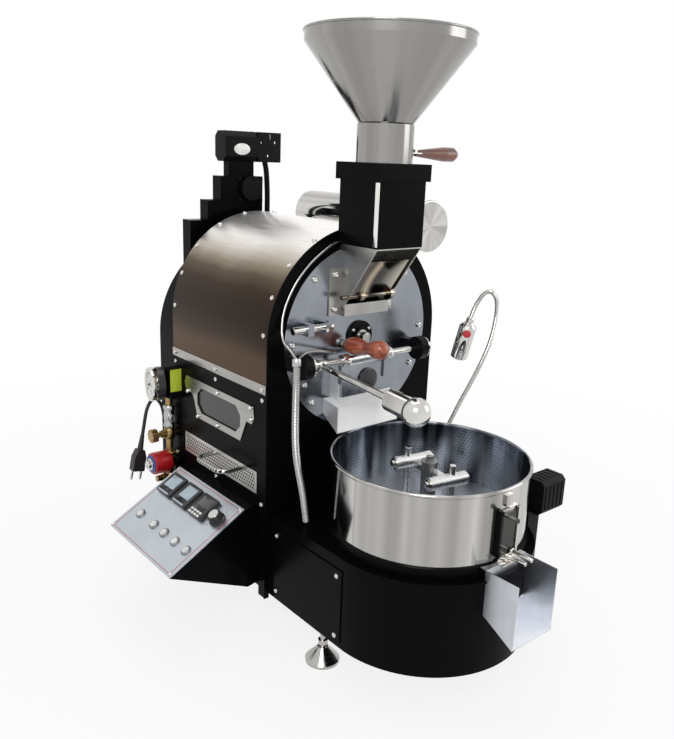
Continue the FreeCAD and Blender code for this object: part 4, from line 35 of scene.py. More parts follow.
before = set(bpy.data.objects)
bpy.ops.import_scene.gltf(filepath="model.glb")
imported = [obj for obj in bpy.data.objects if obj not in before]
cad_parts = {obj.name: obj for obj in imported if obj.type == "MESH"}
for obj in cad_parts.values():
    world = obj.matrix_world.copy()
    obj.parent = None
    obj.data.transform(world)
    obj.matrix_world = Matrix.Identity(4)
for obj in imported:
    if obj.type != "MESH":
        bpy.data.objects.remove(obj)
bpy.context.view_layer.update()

# Places are given in millimetres from the drum's axis, the front plate's face and the floor.
AXIS_X = 63.5
FACE_Y = 20.0
ARCH_RADIUS = 190.0
ARCH_Z = 528.0
BODY_LENGTH = 320.0
COVER_EDGE_Z = 455.0
STRIP_HEIGHT = 16.0
STRIP_DEPTH = 1.5
SCREW_MARGIN = 4.5 * 2.4
BIN_Y = -195.0
GAS_X = -203.0
GAS_Y = 319.0
ROW_SHARE = 0.866
PANEL_TOP = (-214.5, 239.6)
PANEL_SLOPE = math.radians(29.7)
PANEL_NORMAL = Vector((-math.sin(PANEL_SLOPE), 0, math.cos(PANEL_SLOPE)))
WHITE = (1, 1, 1)
UP = (0, 0, 1)
FRONT = (0, -1, 0)
LEFT = (-1, 0, 0)

FINISHES = {}


def at(x, y, z):
    """A place in the frame, in metres."""
    return Vector(((x + AXIS_X) / 1000, (y + FACE_Y) / 1000, z / 1000))


def mm(value):
    """Millimetres as metres."""
    return value / 1000


def on_panel(down, y, height):
    """A place on the control panel: down the slope from its top edge, along Y and above its face."""
    x = PANEL_TOP[0] - down * math.cos(PANEL_SLOPE) - height * math.sin(PANEL_SLOPE)
    z = PANEL_TOP[1] - down * math.sin(PANEL_SLOPE) + height * math.cos(PANEL_SLOPE)
    return at(x, y, z)


def panel_matrix(down, y, height):
    """Panel axes at a place: local X runs up the slope, local Y along the panel and local Z off its face."""
    return Matrix.Translation(on_panel(down, y, height)) @ Matrix.Rotation(-PANEL_SLOPE, 4, "Y")


# Modelling

def calm():
    """Object mode with nothing selected."""
    if bpy.context.mode != "OBJECT":
        bpy.ops.object.mode_set(mode="OBJECT")
    bpy.ops.object.select_all(action="DESELECT")


def take(obj):
    calm()
    obj.select_set(True)
    bpy.context.view_layer.objects.active = obj
    return obj


def settle(obj):
    take(obj)
    bpy.ops.object.transform_apply(location=True, rotation=True, scale=True)
    return obj


def named(obj, name):
    obj.name = name
    obj.data.name = name
    return obj


def use(obj, kind, **values):
    """Adds a modifier with these values and applies it."""
    take(obj)
    modifier = obj.modifiers.new(kind.title(), kind)
    for key, value in values.items():
        setattr(modifier, key, value)
    bpy.ops.object.modifier_apply(modifier=modifier.name)
    return obj


def soften(obj, width, segments=3):
    """Rounds the sharp edges by a width in millimetres and shades the rest smooth."""
    if width > 0:
        use(obj, "BEVEL", width=mm(width), segments=segments, limit_method="ANGLE",
            angle_limit=math.radians(30), use_clamp_overlap=True)
    take(obj)
    bpy.ops.object.shade_smooth_by_angle(angle=math.radians(35))
    return obj


def facing(direction):
    """The turn that points local Z along a direction."""
    return Vector(direction).to_track_quat("Z", "Y").to_euler()


def bar(name, radius, start, end, sides=32, edge=0.6):
    """A round bar between two places in metres, with its rims rounded."""
    start = Vector(start)
    end = Vector(end)
    calm()
    bpy.ops.mesh.primitive_cylinder_add(vertices=sides, radius=mm(radius), depth=(end - start).length,
                                        location=(start + end) / 2, rotation=facing(end - start))
    obj = named(bpy.context.object, name)
    settle(obj)
    return soften(obj, edge)


def turned(name, profile, place, direction, sides=40, edge=0.0):
    """A turned piece: rings of (radius, height) in millimetres, each extruded from the one before."""
    calm()
    bpy.ops.mesh.primitive_circle_add(vertices=sides, radius=mm(profile[0][0]), fill_type="NGON",
                                      location=(0, 0, 0))
    obj = named(bpy.context.object, name)
    bpy.ops.object.mode_set(mode="EDIT")
    bpy.ops.mesh.select_all(action="SELECT")
    before = profile[0]
    height = 0.0
    for radius, level in profile[1:]:
        step = mm(level - before[1])
        bpy.ops.mesh.extrude_region_move(TRANSFORM_OT_translate={"value": (0, 0, step)})
        height += step
        share = radius / before[0]
        if abs(share - 1) > 1e-6:
            bpy.ops.transform.resize(value=(share, share, 1), center_override=(0, 0, height))
        before = (radius, level)
    bpy.ops.mesh.select_all(action="SELECT")
    bpy.ops.mesh.remove_doubles(threshold=1e-7)
    bpy.ops.mesh.normals_make_consistent(inside=False)
    bpy.ops.object.mode_set(mode="OBJECT")
    base = Matrix.Translation((0, 0, mm(profile[0][1])))
    obj.matrix_world = Matrix.Translation(Vector(place)) @ facing(direction).to_matrix().to_4x4() @ base
    settle(obj)
    return soften(obj, edge)


def plate(name, size, matrix, edge=0.6, segments=3):
    """A box of a size in millimetres, centred on a matrix's place, with rounded edges."""
    calm()
    bpy.ops.mesh.primitive_cube_add(size=1, location=(0, 0, 0))
    obj = named(bpy.context.object, name)
    obj.scale = (mm(size[0]), mm(size[1]), mm(size[2]))
    settle(obj)
    soften(obj, edge, segments)
    obj.matrix_world = matrix
    return settle(obj)


def placed(x, y, z):
    """The matrix that moves a piece to a place."""
    return Matrix.Translation(at(x, y, z))


def copy_of(obj, name, matrix):
    """A copy with its own mesh, moved by a matrix and settled."""
    take(obj)
    bpy.ops.object.duplicate(linked=False)
    other = named(bpy.context.object, name)
    other.matrix_world = matrix
    return settle(other)


def merged(objects, name):
    """Several pieces as one object."""
    calm()
    for obj in objects:
        obj.select_set(True)
    bpy.context.view_layer.objects.active = objects[0]
    if len(objects) > 1:
        bpy.ops.object.join()
    return named(bpy.context.object, name)


def finish(obj, look, body="frame", replaces=()):
    """Gives a piece its look, the body it rides on and the nodes that it stands for."""
    obj.data.materials.clear()
    obj.data.materials.append(FINISHES[look])
    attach(obj, body)
    if replaces:
        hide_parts(*replaces)
    return obj


def line(name, points, radius, resolution=8):
    """A smooth round line through a route's runs, as a NURBS spline with the route as its control points."""
    curve = bpy.data.curves.new(name, "CURVE")
    curve.dimensions = "3D"
    curve.bevel_depth = radius
    curve.bevel_resolution = 5
    curve.resolution_u = resolution
    curve.use_fill_caps = True
    spline = curve.splines.new("NURBS")
    spline.points.add(len(points) - 1)
    for point, place in zip(spline.points, points):
        point.co = (place[0], place[1], place[2], 1)
    spline.order_u = 3
    spline.use_endpoint_u = True
    obj = bpy.data.objects.new(name, curve)
    bpy.context.scene.collection.objects.link(obj)
    return obj


def thread(name, points, radius, look, replaces=()):
    """A smooth round line as a fixed piece."""
    return finish(line(name, points, radius), look, replaces=replaces)


def lathed(name, look, profile, place, direction, sides=40, edge=0.0, body="frame"):
    """A turned piece with its look and body."""
    return finish(turned(name, profile, place, direction, sides, edge), look, body)


def ribs_along(name, points, radius, rib, pitch, sides=18):
    """Rings set along a route, as on armoured conduit or a gooseneck."""
    path = line(name + "_path", points, 0, 12)
    length = sum(s.calc_length() for s in path.data.splines)
    calm()
    bpy.ops.mesh.primitive_torus_add(major_radius=mm(radius - rib), minor_radius=mm(rib),
                                     major_segments=sides, minor_segments=6, location=(0, 0, 0),
                                     rotation=(0, math.pi / 2, 0))
    obj = named(bpy.context.object, name)
    settle(obj)
    for vertex in obj.data.vertices:
        vertex.co.x += mm(rib)
    use(obj, "ARRAY", fit_type="FIXED_COUNT", count=max(2, int(length / mm(pitch))),
        use_relative_offset=False, use_constant_offset=True, constant_offset_displace=(mm(pitch), 0, 0))
    use(obj, "CURVE", object=path, deform_axis="POS_X")
    bpy.data.objects.remove(path)
    return soften(obj, 0)


# Materials

class Graph:
    """The node tree of a material or a world, built up a node at a time."""

    def __init__(self, name, owner=None):
        self.material = owner or bpy.data.materials.new(name)
        self.material.use_nodes = True
        self.tree = self.material.node_tree
        self.shader = self.tree.nodes.get("Principled BSDF")

    def feed(self, value, socket):
        """Sets a socket's own number or colour, or links another socket to it."""
        if isinstance(value, (int, float)):
            socket.default_value = value
        elif isinstance(value, (tuple, list)):
            socket.default_value = (*value, 1) if len(socket.default_value) > len(value) else value
        else:
            self.tree.links.new(value, socket)

    def add(self, kind, inputs=None, **settings):
        """Adds a node with these settings and feeds its inputs, which are given by name or number."""
        node = self.tree.nodes.new(kind)
        for key, value in settings.items():
            setattr(node, key, value)
        for key, value in (inputs or {}).items():
            self.feed(value, node.inputs[key])
        return node

    def place(self):
        """Object coordinates, from one node for the whole tree."""
        node = self.tree.nodes.get("Texture Coordinate") or self.add("ShaderNodeTexCoord")
        return node.outputs["Object"]

    def noise(self, scale, stretch=(1, 1, 1), detail=4.0):
        spots = self.add("ShaderNodeMapping", {"Vector": self.place(), "Scale": stretch}).outputs["Vector"]
        inputs = {"Scale": scale, "Detail": detail, "Roughness": 0.55, "Vector": spots}
        return self.add("ShaderNodeTexNoise", inputs).outputs["Fac"]

    def ranged(self, value, low, high, start=0.0, end=1.0):
        inputs = {"From Min": start, "From Max": end, "To Min": low, "To Max": high, "Value": value}
        return self.add("ShaderNodeMapRange", inputs).outputs["Result"]

    def math(self, operation, *values):
        return self.add("ShaderNodeMath", dict(enumerate(values)), operation=operation).outputs[0]

    def mixed(self, share, first, second):
        """A mix of two colours."""
        return self.add("ShaderNodeMix", {0: share, 6: first, 7: second}, data_type="RGBA").outputs[2]

    def ramp(self, value, stops):
        """A colour ramp through (place, colour) stops."""
        node = self.add("ShaderNodeValToRGB", {"Fac": value})
        elements = node.color_ramp.elements
        for place, colour in stops[1:-1]:
            elements.new(place)
        for element, (place, colour) in zip(elements, stops):
            element.color = (*colour, 1)
        return node.outputs["Color"]

    def parts(self):
        return self.add("ShaderNodeSeparateXYZ", {0: self.place()}).outputs

    def polar(self, centre, axes="XY"):
        """The distance and the angle from an axis, given as two coordinates in millimetres."""
        parts = self.parts()
        first, second = (self.math("SUBTRACT", parts["XYZ".index(axis)], mm(middle))
                         for axis, middle in zip(axes, centre))
        square = self.math("ADD", self.math("MULTIPLY", first, first), self.math("MULTIPLY", second, second))
        return self.math("SQRT", square), self.math("ARCTAN2", second, first)

    def around(self, centre, count, axes="XY"):
        """Soft bands of noise by the angle round an axis."""
        inputs = {"Scale": count, "Detail": 2.5, "W": self.polar(centre, axes)[1]}
        return self.add("ShaderNodeTexNoise", inputs, noise_dimensions="1D").outputs["Fac"]

    def inside(self, box):
        """1 within a box of three (low, high) ranges in metres, else 0."""
        mask = 1.0
        for value, (low, high) in zip(self.parts(), box):
            within = self.math("COMPARE", value, (low + high) / 2, (high - low) / 2)
            mask = self.math("MULTIPLY", within, mask)
        return mask

    def bump(self, height, distance, strength):
        node = self.add("ShaderNodeBump", {"Strength": strength, "Distance": distance, "Height": height})
        self.feed(node.outputs["Normal"], self.shader.inputs["Normal"])

    def set(self, **values):
        """Feeds the shader's inputs, named with underscores for their spaces."""
        for key, value in values.items():
            self.feed(value, self.shader.inputs[key.replace("_", " ")])

    def blend(self, share, first, second, output):
        """Shows a mix of two shader nodes."""
        mix = self.add("ShaderNodeMixShader", {0: share, 1: first.outputs[0], 2: second.outputs[0]})
        self.feed(mix.outputs[0], output.inputs["Surface"])


def shade(colour, share):
    """A colour with its channels multiplied by a share."""
    return tuple(min(1.0, channel * share) for channel in colour)


def metal(name, colour, roughness, stretch, streak, cloud, grain, depth):
    """Polished or brushed metal: cloudy colour, streaks along the least stretched axis and a fine grain."""
    graph = Graph(name)
    streaks = graph.noise(grain, stretch, 3.0)
    clouds = graph.noise(9.0, detail=3.0)
    share = graph.ranged(clouds, 0, 1, 0.3, 0.7)
    tone = graph.mixed(share, shade(colour, 1 - cloud), shade(colour, 1 + cloud))
    fleck = graph.mixed(graph.ranged(streaks, 0, streak, 0.35, 0.65), tone, shade(colour, 0.55))
    level = graph.math("ADD", graph.ranged(streaks, -0.04, 0.05, 0.3, 0.7),
                       graph.ranged(clouds, roughness - 0.03, roughness + 0.04))
    graph.set(Base_Color=fleck, Metallic=1.0, Roughness=level)
    graph.bump(streaks, depth, 0.5)
    return graph.material


def painted_band_sheet(name, colour, centre, roughness, count, low, high, axes="XY", painted_gate_shade=None, inner=None):
    """Polished sheet rolled round an axis, with soft bands of painted reflection by the angle round it.

    A dark box of painted shade can be given. Within the inner radius the sheet carries a painted reflection
    of the holed floor, with dark painted reflections over it."""
    graph = Graph(name)
    # The soft bands by angle are painted reflection of the surroundings.
    bands = graph.around(centre, count, axes)
    fine = graph.noise(220.0, tuple(1 if axis in axes else 0.04 for axis in "XYZ"), 3.0)
    tone = graph.mixed(graph.ranged(bands, 0, 1, 0.36, 0.64), shade(colour, low), shade(colour, high))
    tone = graph.mixed(graph.ranged(fine, 0, 0.05, 0.35, 0.65), tone, shade(colour, 0.5))
    # Within the inner radius: a painted reflection of the holed floor, with dark painted reflections in broad
    # bands over it.
    if inner:
        reach, angle = graph.polar(centre, axes)
        reflected_hole_dots = holes(graph, graph.math("MULTIPLY", angle, mm(inner)), graph.parts()[2], mm(6.4), mm(2.1))
        broad = graph.ranged(graph.noise(19.0, (1, 1, 0.16), 2.5), 0, 1, 0.42, 0.56)
        inner_painted_reflection = graph.mixed(broad, (0.035, 0.04, 0.05), (0.5, 0.53, 0.58))
        spots = graph.math("MULTIPLY", graph.math("MULTIPLY", reflected_hole_dots, broad), 0.55)
        inner_painted_reflection = graph.mixed(spots, inner_painted_reflection, (0.05, 0.055, 0.065))
        tone = graph.mixed(graph.math("LESS_THAN", reach, mm(inner)), tone, inner_painted_reflection)
    # A near-black box of painted shade by the gate.
    if painted_gate_shade:
        tone = graph.mixed(graph.inside(painted_gate_shade), tone, (0.012, 0.012, 0.013))
    level = graph.ranged(bands, roughness + 0.03, roughness - 0.02)
    graph.set(Base_Color=tone, Metallic=1.0, Roughness=level)
    graph.bump(fine, 0.000003, 0.4)
    return graph.material


def coating(name, colour, roughness, peel, dust, coat, gloss):
    """Powder coat or lacquer: orange peel, faint dust and small changes of gloss."""
    graph = Graph(name)
    fine = graph.noise(900.0, detail=2.0)
    broad = graph.noise(7.0)
    tone = graph.mixed(graph.ranged(broad, 0, dust, 0.45, 0.75), colour, (0.25, 0.25, 0.25))
    level = graph.ranged(broad, roughness - 0.05, roughness + 0.07, 0.3, 0.7)
    graph.set(Base_Color=tone, Roughness=level)
    graph.set(Coat_Weight=coat, Coat_Roughness=0.12, Specular_IOR_Level=gloss)
    graph.bump(fine, peel, 0.4)
    return graph.material


def plastic(name, colour, roughness, grain=0.00003):
    """Moulded plastic or rubber with a fine texture and small changes of tone."""
    graph = Graph(name)
    fine = graph.noise(1400.0, detail=2.0)
    broad = graph.noise(30.0, detail=3.0)
    tone = graph.mixed(graph.ranged(broad, 0, 1, 0.35, 0.65), shade(colour, 0.85), shade(colour, 1.15))
    graph.set(Base_Color=tone, Roughness=graph.ranged(fine, roughness - 0.06, roughness + 0.08, 0.3, 0.7))
    graph.bump(fine, grain, 0.5)
    return graph.material


def wood(name, dark, light, along):
    """Varnished wood: rings and pores stretched along the grain."""
    graph = Graph(name)
    stretch = tuple(0.12 if axis == along else 1.0 for axis in "XYZ")
    warp = graph.noise(60.0, stretch)
    pores = graph.noise(900.0, stretch, 2.0)
    bands = graph.math("SINE", graph.math("MULTIPLY", warp, 38.0))
    tone = graph.mixed(graph.ranged(bands, 0, 1, -1, 1), dark, light)
    tone = graph.mixed(graph.ranged(pores, 0, 0.5, 0.58, 0.75), tone, shade(dark, 0.4))
    graph.set(Base_Color=tone, Roughness=graph.ranged(pores, 0.26, 0.4, 0.3, 0.7), Coat_Weight=0.5,
              Coat_Roughness=0.1)
    graph.bump(pores, 0.00005, 0.3)
    return graph.material


def holes(graph, first, second, pitch, radius):
    """A mask of round holes in staggered rows on two coordinates: 1 in a hole."""
    column = graph.math("DIVIDE", first, pitch)
    row = graph.math("DIVIDE", second, pitch * ROW_SHARE)
    odd = graph.math("PINGPONG", graph.math("FLOOR", row), 1.0)
    column = graph.math("ADD", column, graph.math("MULTIPLY", odd, 0.5))
    across = graph.math("SUBTRACT", graph.math("FRACT", column), 0.5)
    along = graph.math("MULTIPLY", graph.math("SUBTRACT", graph.math("FRACT", row), 0.5), ROW_SHARE)
    square = graph.math("ADD", graph.math("MULTIPLY", across, across), graph.math("MULTIPLY", along, along))
    return graph.math("LESS_THAN", square, (radius / pitch) ** 2)


def perforated(name, colour, axes, pitch, radius, roughness, window=()):
    """Perforated sheet: holes in staggered rows, kept inside a window of (low, high) ranges where given."""
    graph = Graph(name)
    parts = graph.parts()
    first, second = (parts["XYZ".index(axis)] for axis in axes)
    mask = holes(graph, first, second, mm(pitch), mm(radius))
    for value, (low, high) in zip((first, second), window):
        mask = graph.math("MULTIPLY", mask, graph.math("GREATER_THAN", value, low))
        mask = graph.math("MULTIPLY", mask, graph.math("LESS_THAN", value, high))
    clouds = graph.noise(12.0)
    steel = graph.mixed(graph.ranged(clouds, 0, 1, 0.3, 0.7), shade(colour, 0.85), shade(colour, 1.1))
    graph.set(Base_Color=graph.mixed(mask, steel, (0.004, 0.004, 0.004)),
              Metallic=graph.math("SUBTRACT", 1.0, mask), Roughness=graph.ranged(mask, roughness, 0.8))
    graph.bump(graph.math("SUBTRACT", 1.0, mask), 0.0004, 0.6)
    return graph.material


def glass(name, tint):
    """Smoked glass with faint smears."""
    graph = Graph(name)
    smears = graph.noise(25.0, detail=3.0)
    graph.set(Base_Color=graph.mixed(graph.ranged(smears, 0, 0.2), tint, shade(tint, 1.6)),
              Roughness=graph.ranged(smears, 0.06 * 0.6, 0.06 * 1.8), Transmission_Weight=0.65, IOR=1.5)
    return graph.material


def lcd(name, pale, dark):
    """A small display's glowing cell, cloudy and glossy."""
    graph = Graph(name)
    clouds = graph.noise(60.0)
    fine = graph.noise(700.0, detail=1.0)
    tone = graph.mixed(graph.ranged(clouds, 0, 0.4, 0.3, 0.7), pale, dark)
    graph.set(Base_Color=tone, Roughness=graph.ranged(fine, 0.12, 0.2), Coat_Weight=0.6, Coat_Roughness=0.05)
    graph.bump(fine, 0.00001, 0.3)
    return graph.material


def make_finishes(looks):
    """All finishes by name."""
    steel = tuple(looks.steel)
    black = tuple(looks.black)
    even = (1, 1, 1)
    rolled = (1, 1, 0.2)
    # Look, material, colour or share of the steel's, roughness, stretch, streak, cloud, grain and depth.
    for look, name, colour, *rest in (
            ("steel", "polished_steel", 1.0, 0.13, (1, 1, 0.3), 0.06, 0.12, 200.0, 0.000003),
            ("chute_steel", "chute_steel", (0.93, 0.93, 0.93), 0.5, rolled, 0.05, 0.06, 200.0, 0.000003),
            ("spout_steel", "spout_steel", (0.6, 0.62, 0.66), 0.34, rolled, 0.05, 0.08, 200.0, 0.000003),
            ("feed_steel", "feed_steel", 0.9, 0.3, even, 0.1, 0.3, 40.0, 0.000001),
            ("lever_chrome", "lever_chrome", 1.1, 0.07, even, 0.1, 0.45, 50.0, 0.000001),
            ("bright_steel", "bright_steel", (0.8, 0.79, 0.76), 0.16, rolled, 0.05, 0.06, 200.0, 0.000003),
            # The gate slide is steel darkened to 0.12 of the steel's colour as painted dark reflection.
            ("gate_plate", "gate_plate", 0.12, 0.12, even, 0.05, 0.2, 40.0, 0.000001),
            ("brushed", "brushed_steel", 0.9, 0.27, (1, 0.03, 1), 0.3, 0.1, 500.0, 0.00002),
            ("disc", "face_steel", (0.27, 0.29, 0.32), 0.2, even, 0.05, 0.18, 60.0, 0.000002),
            ("chrome", "chrome", 1.35, 0.06, even, 0.04, 0.06, 120.0, 0.000001),
            ("grey_metal", "grey_casting", (0.32, 0.32, 0.32), 0.38, even, 0.3, 0.1, 700.0, 0.00005),
            ("cast", "dark_casting", (0.06, 0.06, 0.065), 0.5, even, 0.3, 0.15, 600.0, 0.0001),
            ("brass", "brass", (0.42, 0.29, 0.12), 0.3, even, 0.25, 0.18, 260.0, 0.00001),
            ("nickel", "nickel", (0.5, 0.5, 0.49), 0.28, even, 0.2, 0.1, 300.0, 0.00002),
            ("arm_metal", "arm_metal", (0.74, 0.74, 0.73), 0.26, even, 0.2, 0.12, 300.0, 0.00002),
            ("panel", "panel_aluminium", (0.52, 0.56, 0.6), 0.36, (1, 0.02, 1), 0.1, 0.05, 600.0, 0.00001)):
        FINISHES[look] = metal(name, shade(steel, colour) if isinstance(colour, float) else colour, *rest)
    # Look, material, colour, roughness and, where it isn't the usual one, grain.
    for look, name, *rest in (
            ("black_plastic", "black_plastic", (0.014, 0.014, 0.016), 0.28),
            ("rubber", "cord_rubber", (0.012, 0.012, 0.012), 0.5, 0.00005),
            ("white_plastic", "white_button", (0.78, 0.79, 0.77), 0.22, 0.00001),
            ("red_plastic", "coil_red", tuple(looks.coil), 0.3, 0.00004),
            ("blue_plastic", "coil_ring_blue", (0.03, 0.07, 0.3), 0.35),
            ("tag", "tag_green", (0.5, 0.62, 0.04), 0.45),
            ("switch_red", "lamp_switch_red", (0.62, 0.05, 0.06), 0.3, 0.00001),
            ("dial", "dial_white", (0.8, 0.8, 0.78), 0.35, 0.00001),
            ("ink", "dial_ink", (0.01, 0.01, 0.01), 0.4),
            ("red_ink", "panel_red_line", (0.45, 0.05, 0.06), 0.4)):
        FINISHES[look] = plastic(name, *rest)
    # A box of painted shade on the bin beside the gate slide.
    painted_gate_shade = tuple(zip(at(-23, -374, 262), at(-15.2, -353, 338)))
    window = tuple(zip(at(0, 33, 265), at(0, 272, 299)))[1:]
    FINISHES.update({
        # Bin, hopper and duct: steel with painted reflection bands, each at its own share of the steel.
        "bin_steel": painted_band_sheet("bin_steel", shade(steel, 0.92), (AXIS_X, FACE_Y + BIN_Y), 0.12, 2.4, 0.62, 1.35,
                            painted_gate_shade=painted_gate_shade, inner=161.0),
        "hopper_steel": painted_band_sheet("hopper_steel", shade(steel, 0.66), (AXIS_X, FACE_Y - 48.5), 0.16, 1.5,
                               0.85, 1.12),
        "duct_steel": painted_band_sheet("duct_steel", shade(steel, 1.25), (AXIS_X + 158, 713), 0.08, 1.6, 0.75, 1.15,
                             "XZ"),
        "flap_painted_reflection": flap_painted_reflection(),
        "black": coating("black_coat", black, 0.26, 0.00003, 0.003, 0.015, 0.035),
        "satin_black": coating("satin_black", shade(black, 1.6), 0.38, 0.00006, 0.006, 0.02, 0.08),
        "bronze": bronze(tuple(looks.cover)),
        "trier_wood": wood("trier_wood", (0.24, 0.04, 0.018), (0.44, 0.1, 0.04), "Y"),
        "gate_wood": wood("gate_wood", (0.085, 0.022, 0.012), (0.2, 0.06, 0.03), "X"),
        "floor_holes": perforated("bin_floor_holes", (0.78, 0.81, 0.86), "XY", 4.4, 1.15, 0.42),
        "drawer": perforated("drawer_front_holes", shade(steel, 1.4), "YZ", 7.0, 2.4, 0.4, window),
        "glass": glass("window_glass", (0.06, 0.06, 0.055)),
        "screen": lcd("screen_pale", (0.42, 0.52, 0.6), (0.26, 0.34, 0.42)),
        "dark_screen": lcd("screen_dark", (0.03, 0.035, 0.04), (0.015, 0.018, 0.02)),
    })


def bronze(colour):
    """Metallic lacquer on the cover, with painted reflection by height: red-brown low down, darker at the
    shoulder and silvery on the crown.
    """
    graph = Graph("bronze_cover_painted_reflection")
    streaks = graph.noise(260.0, (1, 0.05, 1), 3.0)
    clouds = graph.noise(4.0, detail=3.0)
    height = graph.math("ADD", graph.ranged(graph.parts()[2], 0, 1, 0.46, 0.72),
                        graph.ranged(clouds, -0.03, 0.03, 0.3, 0.7))
    # Painted reflection: this ramp by height stands in for the surroundings mirrored in the cover.
    tone = graph.ramp(height, (
        (0.0, shade(colour, 0.34)), (0.16, shade(colour, 0.33)), (0.27, shade(colour, 0.12)),
        (0.38, shade(colour, 0.085)), (0.48, shade(colour, 0.095)), (0.58, shade(colour, 0.165)),
        (0.66, (0.1, 0.075, 0.05)), (0.72, (0.28, 0.23, 0.165)), (0.79, (0.6, 0.55, 0.49)),
        (0.86, (0.9, 0.87, 0.83)), (1.0, (0.97, 0.95, 0.93))))
    tone = graph.mixed(graph.ranged(streaks, 0, 0.1, 0.4, 0.7), tone, shade(colour, 0.2))
    graph.set(Base_Color=tone, Metallic=0.97, Roughness=graph.ranged(streaks, 0.28, 0.36, 0.3, 0.7))
    graph.bump(streaks, 0.000006, 0.4)
    return graph.material


def flap_painted_reflection():
    """The feed flap's polished plate, whose two sides carry a dark and a pale sweep of painted reflection."""
    graph = Graph("flap_painted_reflection")
    parts = graph.parts()
    wave = graph.math("MULTIPLY", graph.math("SINE", graph.math("MULTIPLY", parts[2], 52.0)), 0.006)
    across = graph.ranged(graph.math("ADD", parts[0], wave), 0, 1, mm(AXIS_X - 46), mm(AXIS_X + 46))
    # The dark and pale sweeps across the flap are painted reflection, wavy in height.
    tone = graph.ramp(across, (
        (0.0, (0.12, 0.1, 0.08)), (0.2, (0.06, 0.055, 0.05)), (0.34, (0.4, 0.33, 0.24)),
        (0.46, (0.03, 0.028, 0.025)), (0.62, (0.05, 0.047, 0.042)), (1.0, (0.4, 0.37, 0.31))))
    fine = graph.noise(90.0)
    graph.set(Base_Color=tone, Metallic=1.0, Roughness=graph.ranged(fine, 0.05, 0.1))
    return graph.material


LOOK_NODES = {
    "black": "base_cabinet base_top_plate front_plate side_panel_left side_panel_right rear_housing "
             "control_box neck_box",
    "steel": "levelling_feet drum_shaft hopper_gate trier",
    "bin_steel": "cooling_bin",
    "gate_plate": "gate_slide",
    "floor_holes": "bin_floor",
    "spout_steel": "discharge_spout",
    "grey_metal": "agitator_shaft drive_pulley",
    "arm_metal": "agitator_arms",
    "cast": "agitator_gearmotor drum burner",
    "satin_black": "fan_motor bearings drive_motor pressure_gauge pressure_switch",
    "bronze": "outer_cover",
    "brushed": "strips_and_screws window_frame",
    "disc": "face_disc bean_door",
    "rubber": "drive_belt cord_coil power_cord power_plug",
    "glass": "window_glass",
    "drawer": "chaff_drawer",
    "panel": "control_panel",
    "black_plastic": "temperature_controllers speed_knob cord_gland",
    "hopper_steel": "hopper",
    "gate_wood": "hopper_gate_handle",
    "feed_steel": "feed_chute",
    "flap_painted_reflection": "feed_flap",
    "lever_chrome": "door_lever",
    "chute_steel": "discharge_chute",
    "trier_wood": "trier_handle",
    "chrome": "slide_bolt work_lamp",
    "nickel": "probe_conduit gas_valve_cap",
    "duct_steel": "exhaust_duct",
    "brass": "gas_train gas_knob",
    "white_plastic": "push_button_1 push_button_2 push_button_3 push_button_4 push_button_5",
}


def colour_setting(name, description, default):
    return bpy.props.FloatVectorProperty(name=name, description=description, default=default, subtype="COLOR",
                                         min=0, max=1)


def length_setting(name, description, default, low, high):
    return bpy.props.FloatProperty(name=name, description=description, default=default, min=low, max=high,
                                   unit="LENGTH")


class RoasterLooks(bpy.types.PropertyGroup):
    """Colours of the roaster's finishes."""

    black: colour_setting("Black coat", "Colour of the cabinet and housing", (0.0022, 0.0022, 0.0026))
    steel: colour_setting("Steel", "Colour of the polished stainless steel", (0.46, 0.45, 0.43))
    cover: colour_setting("Cover", "Colour of the bronze cover", (0.26, 0.15, 0.085))
    coil: colour_setting("Gas coil", "Colour of the solenoid's coil", (0.5, 0.012, 0.016))


class RoasterSizes(bpy.types.PropertyGroup):
    """Sizes of the roaster's fine pieces."""

    cord_radius: length_setting("Cord radius", "Radius of the power cord", 0.0035, 0.002, 0.006)
    screw_radius: length_setting("Screw radius", "Radius of the cover's screw heads", 0.0045, 0.002, 0.008)
    face_bolt_radius: length_setting("Face bolt radius", "Radius of the disc's bolts", 0.0055, 0.003, 0.008)


class Step:
    """What every step does: its work on the scene, then the answer that it finished."""

    def execute(self, context):
        self.work(context.scene)
        return {"FINISHED"}


class ROASTER_OT_finishes(Step, bpy.types.Operator):
    """Make every finish and put it on the machine's own parts"""

    bl_idname = "roaster.finishes"
    bl_label = "Finishes"

    def work(self, scene):
        make_finishes(scene.roaster_looks)
        for look, names in LOOK_NODES.items():
            for name in names.split():
                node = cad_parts[name]
                node.data.materials.clear()
                node.data.materials.append(FINISHES[look])


LEAD = (
    (136, 348, 132), (136, 348, 107), (136.5, 352, 79.5), (138, 364, 53), (140, 382.5, 30.5),
    (142, 405.5, 14.9), (142.5, 434.5, 3.5), (142.5, 463, 3.5),
)
TAIL = (
    (47.5, 463, 11.2), (47.5, 442, 11.2), (40, 415, 7.9), (21, 399, 4.6), (-6, 390.5, 3.5), (-38, 389, 3.5),
    (-76, 395, 3.5), (-112, 398, 3.5), (-144, 397, 5.5), (-167, 393, 17), (-178, 389, 41),
    (-181, 385.5, 73), (-180, 384, 110), (-179, 384, 150), (-180, 383, 190), (-181, 383, 230),
    (-180, 384, 268), (-180, 386, 300), (-185, 387, 326), (-197, 385, 340), (-211, 380, 341),
    (-222.5, 376.5, 326), (-228, 374.2, 308.5), (-232, 373, 290.5), (-235.6, 373, 272.5),
)
COIL_CENTRE = (95.0, 470.0)
COIL_RADIUS = 47.5
COIL_PITCH = 8.8
COIL_RISE = 7.7


